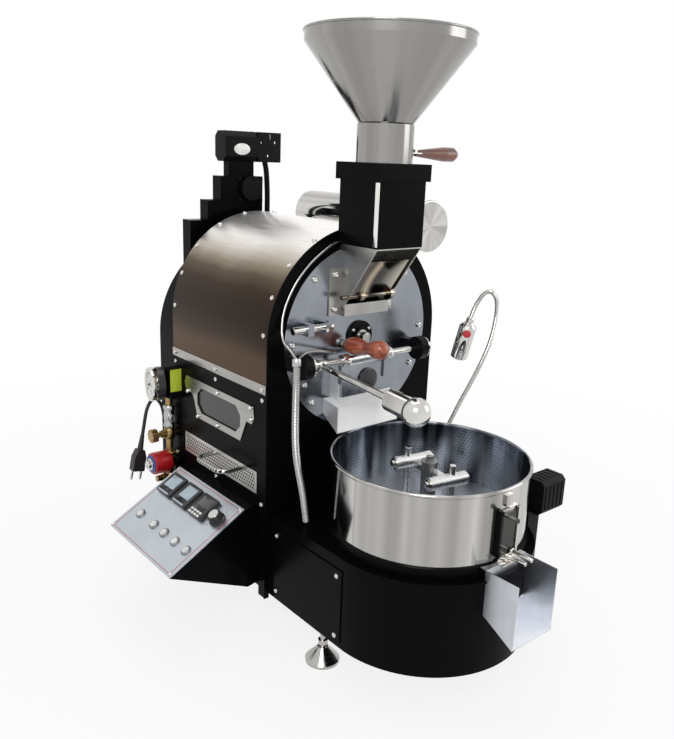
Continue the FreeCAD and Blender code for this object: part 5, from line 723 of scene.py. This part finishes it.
def coil_points():
    """The coil's turns on the floor: two loops inwards, a climb and two loops outwards on top."""
    points = []
    steps = 12
    radius = COIL_RADIUS
    low = 3.5
    for half in range(9):
        inwards = -1 if half < 4 else (0 if half == 4 else 1)
        for step in range(steps):
            share = step / steps
            angle = math.pi * (half + share)
            reach = radius + inwards * COIL_PITCH / 2 * share
            rise = 0.0 if half < 4 else COIL_RISE
            if half == 4:
                rise = COIL_RISE * (1 - math.cos(math.pi * share)) / 2
            points.append((COIL_CENTRE[0] + reach * math.cos(angle), COIL_CENTRE[1] + reach * math.sin(angle),
                           low + rise))
        radius += inwards * COIL_PITCH / 2
    return points


class ROASTER_OT_cord(Step, bpy.types.Operator):
    """Lay the power cord from its gland to its coil and on to the plug"""

    bl_idname = "roaster.cord"
    bl_label = "Power cord"

    def work(self, scene):
        sizes = scene.roaster_sizes
        points = [at(*p) for p in (*LEAD, *coil_points(), *TAIL)]
        cord = thread("mains_cord", points, sizes.cord_radius, "rubber",
                      ("power_cord", "cord_coil"))
        relief = [(8.2, 0), (8.2, 3)]
        for rib in range(5):
            radius = 7.4 - rib * 0.7
            for inset, level in ((0, 3.5), (0, 6.4), (1.3, 6.9), (1.4, 7.6)):
                relief.append((radius - inset, level + rib * 4.6))
        sleeve = lathed("cord_relief", "black_plastic", relief, at(*LEAD[0]), (0, 0, -1), 28)
        tie = self.tie()
        pins = self.pins()

    def tie(self):
        """A strap over the coil's bundle, down to the floor on both sides."""
        strap = plate("coil_tie", (8, 18.5, 15.6), placed(95, 433.6, 8.0), 1.2)
        return finish(strap, "black_plastic")

    def pins(self):
        """The plug's two pins, with rounded ends, over its moulded ones."""
        end = at(*TAIL[-1])
        way = (end - at(*TAIL[-2])).normalized()
        plug_length, pin_offset, pin_length = 73, 9.5, 20
        across = Vector(UP).rotation_difference(way) @ Vector((1, 0, 0))
        pieces = []
        for side in (-1, 1):
            start = end + way * mm(plug_length) + across * mm(side * pin_offset)
            pieces.append(bar("pin", 2.6, start, start + way * mm(pin_length), 20, 1.2))
        return finish(merged(pieces, "plug_pins"), "chrome")


class ROASTER_OT_conduit(Step, bpy.types.Operator):
    """Make the ribbed conduit and the two probes' thin sheaths"""

    bl_idname = "roaster.conduit"
    bl_label = "Conduit"

    def work(self, scene):
        run = ((-172, -56, 519), (-176, -62, 491.9), (-178, -64, 456), (-178, -64, 410.1), (-176, -64, 370),
               (-170.5, -64, 338), (-162, -65, 300.1), (-155.5, -65, 265.1), (-151, -65, 235))
        points = [at(*p) for p in run]
        ribs = ribs_along("conduit_ribs", points, 6.0, 1.15, 2.5)
        finish(ribs, "nickel", replaces=("probe_conduit",))
        thread("conduit_core", points, mm(4.9), "cast")
        ring_radius = 172.0
        sheath = [(-50, -2.3, 693), (-58, -2.3, 693)]
        for share in (0.656, 0.73, 0.81, 0.9):
            angle = math.pi * share
            sheath.append((ring_radius * math.cos(angle), -2.3, ARCH_Z + ring_radius * math.sin(angle)))
        sheath += [(-ring_radius, -14.3, 540), (-173, -38.3, 532.2), (-172, -56, 519)]
        second = ((-167.8, -56, 518.4), (-157, -48, 521), (-141, -42, 524.5), (-115, -34, 521),
                  (-84, -28, 513.5), (-62, -20, 508.5), (-52.5, -7.8, 506.3))
        for name, spots in (("probe_sheath", sheath), ("second_sheath", second)):
            thread(name, [at(*p) for p in spots], mm(2), "steel")
        lathed("conduit_collar", "nickel",
               ((5.2, 0), (6.6, 1), (7.4, 3), (7.4, 12), (6.4, 14)),
               at(-171.6, -55.4, 521), (-0.14, -0.21, -0.97), 24, 0.3)


class ROASTER_OT_gauge(Step, bpy.types.Operator):
    """Give the gas gauge its case, bezel, dial, figures and pointer, and the switch its label"""

    bl_idname = "roaster.gauge"
    bl_label = "Gas gauge"

    def work(self, scene):
        turn = Matrix.Rotation(math.radians(-12.6), 3, "Z")
        face = turn @ Vector(LEFT)
        side = turn @ Vector(FRONT)
        centre = at(GAS_X, GAS_Y, 392) + face * mm(35)
        lathed("gauge_bezel", "chrome",
               ((32.6, -9), (33.2, -8), (33.2, 2), (31.5, 4), (29, 4), (27.8, 1.5), (27.4, 1.0)),
               centre, face, 64)
        lathed("gauge_dial", "dial", ((27.5, -1), (27.5, 1.2), (27.0, 1.6)), centre, face, 64)
        marks = []
        figures = []
        for index in range(31):
            across = self.way(side, 225 - index * 9)
            bold = index % 5 == 0
            start = centre + face * mm(1.75)
            marks.append(bar("mark", 0.42 if bold else 0.25, start + across * mm(19.5 if bold else 21.5),
                             start + across * mm(24.0), 6, 0))
            if bold:
                middle = centre + face * mm(1.9) + across * mm(15.2)
                figures.append(figure(str(index // 5), 5.2, middle, face))
        finish(merged(marks, "gauge_marks"), "ink")
        finish(merged(figures, "gauge_figures"), "ink")
        way = self.way(side, 200)
        start = centre + face * mm(2.4)
        pointer = bar("gauge_pointer", 0.7, start - way * mm(6), start + way * mm(20), 10, 0.2)
        hub = turned("gauge_hub", ((3.0, 1.4), (3.0, 2.8), (2.2, 3.4)), centre, face, 24)
        finish(merged([pointer, hub], "gauge_pointer"), "ink")
        lathed("gauge_case", "black_plastic", ((32.2, 9), (32.6, 9.4), (32.6, 22.4), (32.2, 22.8)),
               centre, -face, 64)
        label = plate("switch_label", (23.4, 1.0, 44), placed(GAS_X + 1, GAS_Y - 29.2, 403), 0.4)
        finish(label, "tag")

    def way(self, side, degrees):
        """A direction on the dial, counted from its right-hand side."""
        angle = math.radians(degrees)
        return side * math.cos(angle) + Vector(UP) * math.sin(angle)


def figure(text, height, place, direction):
    """A raised figure as a mesh, upright and facing a direction."""
    calm()
    bpy.ops.object.text_add(location=(0, 0, 0))
    obj = bpy.context.object
    obj.data.body = text
    obj.data.size = mm(height)
    obj.data.align_x = obj.data.align_y = "CENTER"
    obj.data.extrude = mm(0.15)
    take(obj)
    bpy.ops.object.convert(target="MESH")
    obj = bpy.context.object
    forward = Vector(direction).normalized()
    up = Vector(UP)
    side = up.cross(forward)
    turn = Matrix((side, up, forward)).transposed().to_4x4()
    obj.matrix_world = Matrix.Translation(Vector(place)) @ turn
    return settle(obj)


def hexagon(name, radius, place, direction, depth):
    """A hexagonal nut or head that stands on a place along a direction."""
    calm()
    start = Vector(place)
    way = Vector(direction).normalized()
    bpy.ops.mesh.primitive_cylinder_add(vertices=6, radius=mm(radius), depth=mm(depth),
                                        location=start + way * mm(depth / 2), rotation=facing(way))
    obj = named(bpy.context.object, name)
    settle(obj)
    return soften(obj, 0.8, 2)


class ROASTER_OT_gas_train(Step, bpy.types.Operator):
    """Make the gas pipe's fittings, its valve and the solenoid"""

    bl_idname = "roaster.gas_train"
    bl_label = "Gas train"

    def work(self, scene):
        def stand(name, sides, *profile):
            """A turned piece that stands on the train's line, by its heights over the floor."""
            return turned(name, profile, at(GAS_X, GAS_Y, 0), UP, sides)

        def branch(name, z, *profile):
            """A turned piece that comes out of the line to the left."""
            return turned(name, profile, at(GAS_X, GAS_Y, z), LEFT, 28)

        def nut(name, radius, z, depth):
            return hexagon(name, radius, at(GAS_X, GAS_Y, z), UP, depth)

        def pipe(name, radius, start, end, z, sides):
            return bar(name, radius, at(start, GAS_Y, z), at(end, GAS_Y, z), sides)

        coil_z, tee_z = 230, 288
        brass = [
            stand("riser", 28, (6.5, 196), (6.5, 376)),
            stand("knee", 28, (7, 188.5), (8.6, 191), (8.9, 196), (8.6, 201), (7, 203.5)),
            branch("inlet", 196, (6.5, 0), (6.5, 12), (8, 12.5), (8, 18), (6.4, 18.5), (6.4, 30)),
            stand("solenoid_hub", 28, (10.4, 218.5), (11.5, 219.6), (11.5, 240.5), (10.4, 241.5)),
            nut("hub_nut", 12.2, 243, 8),
            stand("tee_body", 28, (9.5, 277), (10.5, 278.5), (10.5, 297.5), (9.5, 299)),
            branch("tee_branch", tee_z, (7.35, 0), (7.35, 9), (8.6, 9.4), (8.6, 15), (7.0, 15.6), (7.0, 20)),
            pipe("cock_stem", 4.0, -224, -237.5, tee_z, 20),
            pipe("wall_stub_low", 7.35, GAS_X, -ARCH_RADIUS, coil_z, 24),
            pipe("wall_stub_high", 7.35, GAS_X, -ARCH_RADIUS, tee_z, 24),
            nut("gauge_nut", 9.5, 362, 9),
        ]
        finish(merged(brass, "brass_fittings"), "brass", replaces=("gas_train",))
        steel = [
            stand("valve_body", 36, (9.2, 300), (10.6, 302), (10.6, 308), (9.4, 311), (10.2, 316),
                  (10.5, 323), (10.2, 330), (9.4, 335), (10.6, 338), (10.6, 344), (9.2, 346)),
            nut("valve_nut_low", 11.6, 301, 7),
            nut("valve_nut_high", 11.6, 338, 7),
            turned("cap_collar", ((8.4, 5), (8.4, 10), (7.8, 10.6)), at(GAS_X, GAS_Y, 323), FRONT, 28),
        ]
        finish(merged(steel, "valve_body"), "nickel")
        coil = at(-206, GAS_Y, coil_z)
        for name, look, sides, edge, profile in (
                ("coil", "red_plastic", 56, 0.0,
                 ((19.5, 0), (21.4, 1.0), (22, 3), (22, 34), (21.4, 36), (19.5, 37))),
                ("ring", "blue_plastic", 48, 0.0, ((18.6, 36.8), (18.6, 38.6), (17.6, 39.0), (12, 39.0))),
                ("cap", "chrome", 36, 0.3,
                 ((12.0, 38.8), (12.0, 41), (9, 41.6), (9, 47), (5.5, 47.6), (5.5, 49)))):
            lathed("solenoid_" + name, look, profile, coil, LEFT, sides, edge)


class ROASTER_OT_controllers(Step, bpy.types.Operator):
    """Model the temperature controllers' housings, screens and keys"""

    bl_idname = "roaster.controllers"
    bl_label = "Controllers"

    def work(self, scene):
        slot = "temperature_controllers"
        side, top, recess, pitch = 48.0, 8.0, 6.9, 57.0
        first_y = 243.0 - side / 2
        down = 15.0 + side / 2
        housings = []
        pale = []
        keys = []
        for index in range(3):
            y = first_y - pitch * index
            housings.append(plate("case", (side, side, top), panel_matrix(down, y, top / 2), 2.4, 4))
            self.sink_screen(housings[-1], on_panel(down, y, top))
            if index < 2:
                pale.append(plate("lcd", (27, 33, 1.0), panel_matrix(down - 5, y, recess), 0.3))
                pale.append(plate("strip", (3.2, 36, 0.8), panel_matrix(down + 20.5, y, top), 0.3))
            else:
                screen = plate("third_screen", (22, 34, 1.0), panel_matrix(down - 9, y, recess), 0.3)
                finish(screen, "dark_screen")
                for row in range(2):
                    for column in range(4):
                        place = panel_matrix(down + 13.5 + row * 6.5, y - 13.5 + column * 9, top)
                        keys.append(plate("key", (4.6, 6.6, 1.2), place, 0.4))
        finish(merged(housings, "controller_housings"), "black_plastic", replaces=(slot,))
        finish(merged(pale, "controller_screens"), "screen")
        finish(merged(keys, "controller_keys"), "dial")

    def sink_screen(self, case, top):
        """Insets the housing's top face and presses it in, as the screen's recess."""
        take(case)
        bpy.ops.object.mode_set(mode="EDIT")
        bpy.ops.mesh.select_all(action="DESELECT")
        bpy.ops.object.mode_set(mode="OBJECT")
        for polygon in case.data.polygons:
            height = (polygon.center - top).dot(PANEL_NORMAL)
            if polygon.normal.dot(PANEL_NORMAL) > 0.99 and height > -mm(0.5):
                polygon.select = polygon.area > mm(20) ** 2
        bpy.ops.object.mode_set(mode="EDIT")
        bpy.ops.mesh.select_mode(type="FACE")
        bpy.ops.mesh.inset(thickness=mm(3.6), depth=0)
        bpy.ops.mesh.inset(thickness=mm(0.6), depth=mm(-1.2))
        bpy.ops.object.mode_set(mode="OBJECT")


class ROASTER_OT_panel_controls(Step, bpy.types.Operator):
    """Model the push buttons' rings and caps, the dial and the panel's border line"""

    bl_idname = "roaster.panel_controls"
    bl_label = "Panel controls"

    def work(self, scene):
        rings = []
        for index, y in enumerate((220.4, 167.4, 128.6, 89.8, 51.0), start=1):
            place = on_panel(115.5, y, 0)
            profile = ((9.5, 0), (9.5, 1.2), (9.0, 2.6), (8.5, 3.1), (7.6, 3.1), (7.1, 2.7), (6.9, 1.9))
            rings.append(turned("button_ring", profile, place, PANEL_NORMAL, 48))
            lathed("button_cap_%d" % index, "white_plastic",
                   ((6.1, 3.8), (6.1, 4.2), (5.6, 4.7), (4.0, 5.0), (1.6, 5.1)), place, PANEL_NORMAL,
                   body="button_%d" % index)
        finish(merged(rings, "button_rings"), "grey_metal")
        self.dial()
        top, bottom, front, back = 5, 161.4, 34.5, 250.5
        middle_down, middle_y = (top + bottom) / 2, (front + back) / 2
        lines = [plate("line", (1.0, back - front, 0.3), panel_matrix(down, middle_y, 0.12), 0)
                 for down in (top, bottom)]
        lines += [plate("line", (bottom - top, 1.0, 0.3), panel_matrix(middle_down, y, 0.12), 0)
                  for y in (front, back)]
        finish(merged(lines, "panel_border"), "red_ink")

    def dial(self):
        """The speed dial's fluted grip, its bright cap and the scale round it."""
        down, y = 42.0, 55.0
        place = on_panel(down, y, 0)

        def spoke(radius, angle, height):
            """A place round the dial's axis, by its height over the panel."""
            matrix = panel_matrix(down, y, 0)
            return matrix @ Vector((mm(radius) * math.cos(angle), mm(radius) * math.sin(angle), mm(height)))

        profile = ((15.0, 0.4), (15.0, 3.0), (13.4, 3.6), (12.4, 4.0), (11.4, 15.2), (10.6, 16.0))
        grip = [turned("dial_grip", profile, place, PANEL_NORMAL, 60)]
        for index in range(16):
            angle = 2 * math.pi * index / 16
            grip.append(bar("flute", 0.9, spoke(12.4, angle, 4.2), spoke(11.4, angle, 14.8), 8, 0.2))
        finish(merged(grip, "dial_grip"), "black_plastic", "speed_dial", ("speed_knob",))
        lathed("dial_cap", "chrome", ((9.6, 15.8), (9.6, 16.8), (8.8, 17.4), (3, 17.5)),
               place, PANEL_NORMAL, 48, body="speed_dial")
        marks = []
        for index in range(11):
            angle = math.radians(-150 + index * 30)
            marks.append(bar("mark", 0.3, spoke(18, angle, 0.15), spoke(21.5, angle, 0.15), 6, 0))
        finish(merged(marks, "dial_marks"), "ink")


# The access panel's ranges of y and z, the window frame's lower corner and its length and height.
ACCESS_Y = (BIN_Y, -12)
ACCESS_Z = (85, 212)
WINDOW_CORNER = (77, 345)
WINDOW_SIZE = (149, 73)
BOLT_REACH = 160.0
# Shares of the disc's bolt reach, of the arch's quarter turn and of the window frame's length and height.
BOLT_SHARES = (
    (-0.64, 0.66), (0.64, 0.66), (-0.74, -0.45), (-0.64, -0.66), (0.8, -0.42), (-0.91, 0), (0.92, 0.02),
)
COVER_SHARES = (0.06, 0.27, 0.47, 0.68, 0.88, 1.12, 1.32, 1.53, 1.73, 1.94)
FRAME_SHARES = ((1.0, 0.0), (1.27, 0.61), (-0.27, 1.0), (-0.29, 0.7))


def screw_places():
    """Every cover and panel screw as a place and the way its head faces."""
    margin = SCREW_MARGIN
    side = ARCH_RADIUS
    places = []
    for way in (-1, 1):
        face = Vector((way, 0, 0))
        for y in (margin, 160.0, BODY_LENGTH - margin):
            places.append((at((side + STRIP_DEPTH) * way, y, COVER_EDGE_Z), face))
            places.append((at(side * way, y, COVER_EDGE_Z - STRIP_HEIGHT / 2 - margin), face))
            places.append((at(side * way, y, 243 + margin / 2), face))
    for y in (ACCESS_Y[0] + margin, ACCESS_Y[1] - margin):
        for z in (ACCESS_Z[0] + margin, ACCESS_Z[1] - margin):
            places.append((at(-180, y, z), Vector(LEFT)))
    for y in (margin, BODY_LENGTH - margin):
        for share in COVER_SHARES:
            angle = math.radians(-90.0 * (1 - share))
            out = Vector((math.sin(angle), 0, math.cos(angle)))
            places.append((at(0, y, ARCH_Z) + out * mm(side), out))
    return places


def face_bolt_places():
    """The disc's and the neck's bolts, the same way."""
    front = Vector(FRONT)
    places = [(at(BOLT_REACH * x, -6, ARCH_Z + BOLT_REACH * z), front) for x, z in BOLT_SHARES]
    for x in (-61, 61):
        for z in (570 + SCREW_MARGIN, 650 - SCREW_MARGIN):
            places.append((at(x, -9, z), front))
    return places


def socket_head(radius, height):
    """One domed screw head with a socket pressed into it, standing on the origin along +Z."""
    head = turned("head", ((radius * 0.98, 0), (radius, height * 0.25), (radius * 0.9, height * 0.7),
                           (radius * 0.62, height * 0.97), (radius * 0.5, height)), (0, 0, 0), UP, 18)
    take(head)
    top = max(head.data.polygons, key=lambda p: p.center.z).index
    bpy.ops.object.mode_set(mode="EDIT")
    bpy.ops.mesh.select_mode(type="FACE")
    bpy.ops.mesh.select_all(action="DESELECT")
    bpy.ops.object.mode_set(mode="OBJECT")
    head.data.polygons[top].select = True
    bpy.ops.object.mode_set(mode="EDIT")
    bpy.ops.mesh.inset(thickness=mm(radius * 0.08), depth=0)
    bpy.ops.mesh.inset(thickness=mm(radius * 0.04), depth=mm(-height * 0.45))
    bpy.ops.object.mode_set(mode="OBJECT")
    return head


def spread(name, radius, height, places, replaces=()):
    """Socket heads at every place, as one bright piece."""
    head = socket_head(radius, height)
    pieces = []
    for place, way in places:
        matrix = Matrix.Translation(place) @ facing(way).to_matrix().to_4x4()
        pieces.append(copy_of(head, name, matrix))
    bpy.data.objects.remove(head)
    return finish(merged(pieces, name), "chrome", replaces=replaces)


class ROASTER_OT_fasteners(Step, bpy.types.Operator):
    """Set the socket heads and the two bright strips"""

    bl_idname = "roaster.fasteners"
    bl_label = "Fasteners"

    def work(self, scene):
        sizes = scene.roaster_sizes
        slot = "strips_and_screws"
        spread("cover_screws", sizes.screw_radius * 1000, 3.2, screw_places(), replaces=(slot,))
        spread("face_bolts", sizes.face_bolt_radius * 1000, 4.9, face_bolt_places())
        studs = []
        for across, up in FRAME_SHARES:
            studs.append((WINDOW_CORNER[0] + WINDOW_SIZE[0] * (across * 0.94 + 0.03),
                          WINDOW_CORNER[1] + WINDOW_SIZE[1] * (up * 0.9 + 0.05)))
        studs += [(151.5, 350.5), (151.5, 412.5)]
        spread("window_studs", 4.2, 4.5, [(at(-192, y, z), Vector(LEFT)) for y, z in studs])
        corners = [(on_panel(down, y, 0), PANEL_NORMAL) for down in (5.4, 161.0) for y in (32.7, 252.2)]
        spread("panel_screws", 3.2, 1.9, corners)
        strips = []
        for way in (-1, 1):
            middle = placed((ARCH_RADIUS + STRIP_DEPTH / 2) * way, 161, COVER_EDGE_Z)
            strips.append(plate("strip", (STRIP_DEPTH, 318, STRIP_HEIGHT), middle, 0.4))
        finish(merged(strips, "seam_strips"), "brushed")


LAMP_X = 165.0
LAMP = (
    (-31, 242), (-45.2, 272), (-65.9, 315.9), (-86.9, 357.9), (-107.5, 403.3), (-128, 443), (-148, 485),
    (-160.9, 516.9), (-170, 551), (-173, 585.9), (-170, 606.1), (-158, 617), (-143, 612.1), (-131, 596),
    (-121, 578), (-116.5, 561.9),
)


class ROASTER_OT_lamp(Step, bpy.types.Operator):
    """Make the work lamp's ribbed gooseneck, head and foot"""

    bl_idname = "roaster.lamp"
    bl_label = "Work lamp"

    def work(self, scene):
        slot = "work_lamp"
        points = [at(LAMP_X, y, z) for y, z in LAMP]
        finish(ribs_along("lamp_neck_ribs", points, 4.1, 0.9, 1.9, 14), "chrome", replaces=(slot,))
        thread("lamp_neck_core", points, mm(3.3), "nickel")
        lathed("lamp_foot", "chrome", ((14, 0), (14, 3), (12, 5), (8, 6.5), (6, 8), (6, 20), (5, 22)),
               at(LAMP_X, LAMP[0][0], 234), UP, 40, 0.3)
        end = points[-1]
        way = (points[-1] - points[-2]).normalized()
        lathed("lamp_head", "chrome",
               ((5.0, -2), (7.0, 0), (7.2, 2), (7.2, 7.5), (9, 9.5), (14.4, 14.5), (15.6, 17), (15.6, 76.6),
                (15.0, 77.8), (13.9, 77.8), (13.7, 75.0), (13.4, 74.6)), end, way, 48)
        out = Vector((-0.7, -0.7, 0))
        out = (out - way * out.dot(way)).normalized()
        lathed("lamp_switch", "switch_red", ((7.2, -2), (7.2, 1.0), (6.4, 1.8), (3, 2.4), (1.2, 2.5)),
               end + way * mm(25) + out * mm(15.2), out, 32)
        lathed("lamp_lens", "dial", ((13.2, 74.4), (13.2, 75.2), (11, 76.2), (6, 76.8), (2, 77.0)),
               end, way)


class ROASTER_OT_bin_details(Step, bpy.types.Operator):
    """Add the bin's gate rods and sill and the agitator's bolts"""

    bl_idname = "roaster.bin_details"
    bl_label = "Bin details"

    def work(self, scene):
        rods = [plate("sill", (42, 11, 2.4), placed(0, -370.5, 252.4), 0.6)]
        x, y = 8.2, -364
        collar = ((5.0, 0), (5.0, 3), (4.2, 3.6))
        for z, length in ((266, 41), (255.4, 31)):
            rods.append(bar("rod", 3.3, at(x, y, z), at(x, y - length, z), 24, 0.8))
            rods.append(turned("rod_collar", collar, at(x, y - 1.6, z), FRONT, 24, 0.3))
        finish(merged(rods, "gate_rods"), "chrome")
        bolts = []
        arm_turn = math.radians(-10)
        arm_offset = 48
        seat = placed(0, BIN_Y, 0) @ Matrix.Rotation(arm_turn, 4, "Z")
        for way in (-1, 1):
            for end in (-1, 1):
                place = seat @ Vector((mm(36 * end), mm(arm_offset * way), mm(339)))
                out = (seat.to_3x3() @ Vector((end, 0, 0))).normalized()
                bolts.append(turned("clamp_washer", ((8.2, 0), (8.2, 1.4), (7.6, 1.8)), place, out, 24))
                bolts.append(hexagon("clamp_bolt", 6.0, place + out * mm(1.7), out, 4.2))
            top = seat @ Vector((mm(-10 * way), mm(arm_offset * way), mm(361.8)))
            bolts.append(turned("pin_cap", ((5.6, 0), (5.6, 1.6), (4.6, 2.6)), top, UP, 24))
        finish(merged(bolts, "agitator_bolts"), "chrome", "agitator")


class ROASTER_OT_face_details(Step, bpy.types.Operator):
    """Add the front bearing's bolts, the shaft's end, the door's clamps and boss and the neck's strip"""

    bl_idname = "roaster.face_details"
    bl_label = "Face details"

    def work(self, scene):
        front = Vector(FRONT)
        reach = 21.6
        hinge_z = 497
        places = []
        for degrees in (35, 145, 215, 325):
            angle = math.radians(degrees)
            places.append((at(reach * math.cos(angle), -10.5, ARCH_Z + reach * math.sin(angle)), front))
        spread("flange_bolts", 3.2, 3.0, places)
        lathed("shaft_end", "brushed", ((8.9, 12.8), (8.9, 13.6), (7.6, 14.3), (2.0, 14.3)),
               at(0, -13.2, ARCH_Z), front, 36, body="roasting_drum")
        clamps = []
        for x in (-63, 35):
            clamps.append(hexagon("clamp_screw", 4.2, at(x + 7, -46, hinge_z), front, 5.0))
            clamps.append(turned("clamp_collar", ((10.6, 0), (10.6, 14), (9.8, 14.6)),
                                 at(x - 0.3, -36, hinge_z), (1, 0, 0), 36, 0.4))
        finish(merged(clamps, "door_clamps"), "chrome", "door")
        lathed("door_boss", "black_plastic", ((20.4, 0), (20.4, 3.4), (18.6, 4.4), (4, 4.6)),
               at(0, -33.6, 455), front, 56, body="door")
        finish(plate("neck_strip", (1.2, 9, 100), placed(-50.6, -92.3, 743), 0.4), "bright_steel")


class ROASTER_OT_drive_details(Step, bpy.types.Operator):
    """Add the motors' cooling ribs and the drive motor's label plate"""

    bl_idname = "roaster.drive_details"
    bl_label = "Drive details"

    def work(self, scene):
        motor_x = -18
        ribs = []
        for x in range(-48, 24, 12):
            ribs.append(plate("rib", (2.2, 20, 2.4), placed(x, 365.5, 869.2), 0.6))
            if abs(x - motor_x) > 22:
                ribs.append(plate("rib", (2.2, 2.4, 38), placed(x, 346.9, 841), 0.6))
        finish(merged(ribs, "motor_ribs"), "satin_black")
        label = turned("motor_plate", ((11, 0), (11, 0.9), (10.4, 1.3)), (0, 0, 0), FRONT, 48)
        label.matrix_world = placed(motor_x, 345.9, 836) @ Matrix.Diagonal((1.68, 1, 1, 1))
        finish(settle(label), "dial")
        ribs = []
        for x in range(180, 235, 11):
            ribs.append(plate("rib", (2.4, 30, 2.6), placed(x, -279, 310.8), 0.6))
            ribs.append(plate("rib", (2.4, 2.6, 44), placed(x, -301.8, 280), 0.6))
        finish(merged(ribs, "fan_motor_ribs"), "satin_black")


SENSOR = 36.0
FOCAL_PIXELS = 773.48
FRAME_PIXELS = 739
CAMERA_ANGLES = (39.85, 15.50, -2.15)
CAMERA_PLACE = (-0.81388, -0.98104, 0.83184)
# Name, place, size and power of every soft box, in metres and watts.
SOFT_BOXES = (
    ("key", (-1.9, -1.7, 2.3), 1.3, 34.0),
    ("fill", (2.2, -1.6, 1.5), 1.4, 14.0),
    ("top", (0.2, 0.5, 2.8), 1.6, 18.0),
)


class ROASTER_OT_stage(Step, bpy.types.Operator):
    """Set the floor, the studio light and the camera"""

    bl_idname = "roaster.stage"
    bl_label = "Studio"

    def work(self, scene):
        self.camera(scene)
        self.floor()
        self.world(scene)
        self.lights(scene)
        scene.view_settings.view_transform = "Standard"

    def camera(self, scene):
        """The camera where the photograph was taken from, for a frame 674 wide and 739 high."""
        data = bpy.data.cameras.new("camera")
        data.sensor_fit = "AUTO"
        data.sensor_width = SENSOR
        data.lens = FOCAL_PIXELS / FRAME_PIXELS * SENSOR
        data.clip_end = 50
        camera = bpy.data.objects.new("camera", data)
        scene.collection.objects.link(camera)
        yaw, pitch, roll = (math.radians(angle) for angle in CAMERA_ANGLES)
        ahead = Vector((math.sin(yaw) * math.cos(pitch), math.cos(yaw) * math.cos(pitch), -math.sin(pitch)))
        level = Vector((math.cos(yaw), -math.sin(yaw), 0))
        over = level.cross(ahead)
        right = level * math.cos(roll) - over * math.sin(roll)
        up = level * math.sin(roll) + over * math.cos(roll)
        turn = Matrix((right, up, -ahead)).transposed().to_4x4()
        camera.matrix_world = Matrix.Translation(CAMERA_PLACE) @ turn
        scene.camera = camera

    def floor(self):
        """A white floor with the machine's shadow near it, fading into the background farther off."""
        calm()
        bpy.ops.mesh.primitive_plane_add(size=40, location=(0, 0, 0))
        plane = named(bpy.context.object, "studio_floor")
        graph = Graph("studio_floor")
        graph.set(Base_Color=(0.9, 0.9, 0.9), Roughness=0.9, Specular_IOR_Level=0.1)
        glow = graph.add("ShaderNodeEmission", {"Color": WHITE, "Strength": 1.0})
        rays = graph.add("ShaderNodeLightPath").outputs
        seen = graph.math("MAXIMUM", rays["Is Camera Ray"], rays["Is Glossy Ray"])
        far = graph.add("ShaderNodeVectorMath", {0: graph.place()}, operation="LENGTH").outputs["Value"]
        share = graph.math("MULTIPLY", seen, graph.ranged(far, 0.84, 1.0, 0.6, 1.9))
        graph.blend(share, graph.shader, glow, graph.tree.nodes["Material Output"])
        plane.data.materials.append(graph.material)

    def world(self, scene):
        """A background that is white where it is seen or mirrored and half as bright as a light."""
        graph = Graph("studio", bpy.data.worlds.new("studio"))
        graph.tree.nodes.clear()
        dim, bright = (graph.add("ShaderNodeBackground", {"Color": WHITE, "Strength": strength})
                       for strength in (0.5, 1.0))
        rays = graph.add("ShaderNodeLightPath").outputs
        seen = graph.math("MAXIMUM", rays["Is Camera Ray"], rays["Is Glossy Ray"])
        seen = graph.math("MAXIMUM", seen, rays["Is Transmission Ray"])
        graph.blend(seen, dim, bright, graph.add("ShaderNodeOutputWorld"))
        scene.world = graph.material

    def lights(self, scene):
        """Soft boxes: a key from the front left, a fill from the right and one from above."""
        target = at(0, 60, 500)
        for name, place, size, power in SOFT_BOXES:
            data = bpy.data.lights.new(name, "AREA")
            data.size = size
            data.energy = power
            lamp = bpy.data.objects.new(name, data)
            scene.collection.objects.link(lamp)
            lamp.location = place
            lamp.rotation_euler = (target - Vector(place)).to_track_quat("-Z", "Y").to_euler()


class ROASTER_PT_panel(bpy.types.Panel):
    """Lists the roaster's settings and steps"""

    bl_idname = "ROASTER_PT_panel"
    bl_label = "Coffee Roaster"
    bl_space_type = "VIEW_3D"
    bl_region_type = "UI"
    bl_category = "Roaster"

    def draw(self, context):
        layout = self.layout
        looks = context.scene.roaster_looks
        for name in ("black", "steel", "cover", "coil"):
            layout.prop(looks, name)
        sizes = context.scene.roaster_sizes
        for name in ("cord_radius", "screw_radius", "face_bolt_radius"):
            layout.prop(sizes, name)
        for step in STEPS:
            layout.operator(step.bl_idname)


STEPS = (
    ROASTER_OT_finishes, ROASTER_OT_stage, ROASTER_OT_cord, ROASTER_OT_conduit, ROASTER_OT_gauge,
    ROASTER_OT_gas_train, ROASTER_OT_controllers, ROASTER_OT_panel_controls, ROASTER_OT_fasteners,
    ROASTER_OT_lamp, ROASTER_OT_bin_details, ROASTER_OT_face_details, ROASTER_OT_drive_details,
)
CLASSES = (RoasterLooks, RoasterSizes) + STEPS + (ROASTER_PT_panel,)


def register():
    for item in CLASSES:
        bpy.utils.register_class(item)
    bpy.types.Scene.roaster_looks = bpy.props.PointerProperty(type=RoasterLooks)
    bpy.types.Scene.roaster_sizes = bpy.props.PointerProperty(type=RoasterSizes)


def unregister():
    del bpy.types.Scene.roaster_looks
    del bpy.types.Scene.roaster_sizes
    for item in reversed(CLASSES):
        bpy.utils.unregister_class(item)


def main():
    register()
    for step in STEPS:
        group, name = step.bl_idname.split(".")
        result = getattr(getattr(bpy.ops, group), name)()
        if result != {"FINISHED"}:
            raise RuntimeError(step.bl_label + " did not finish")


if __name__ == "__main__":
    main()
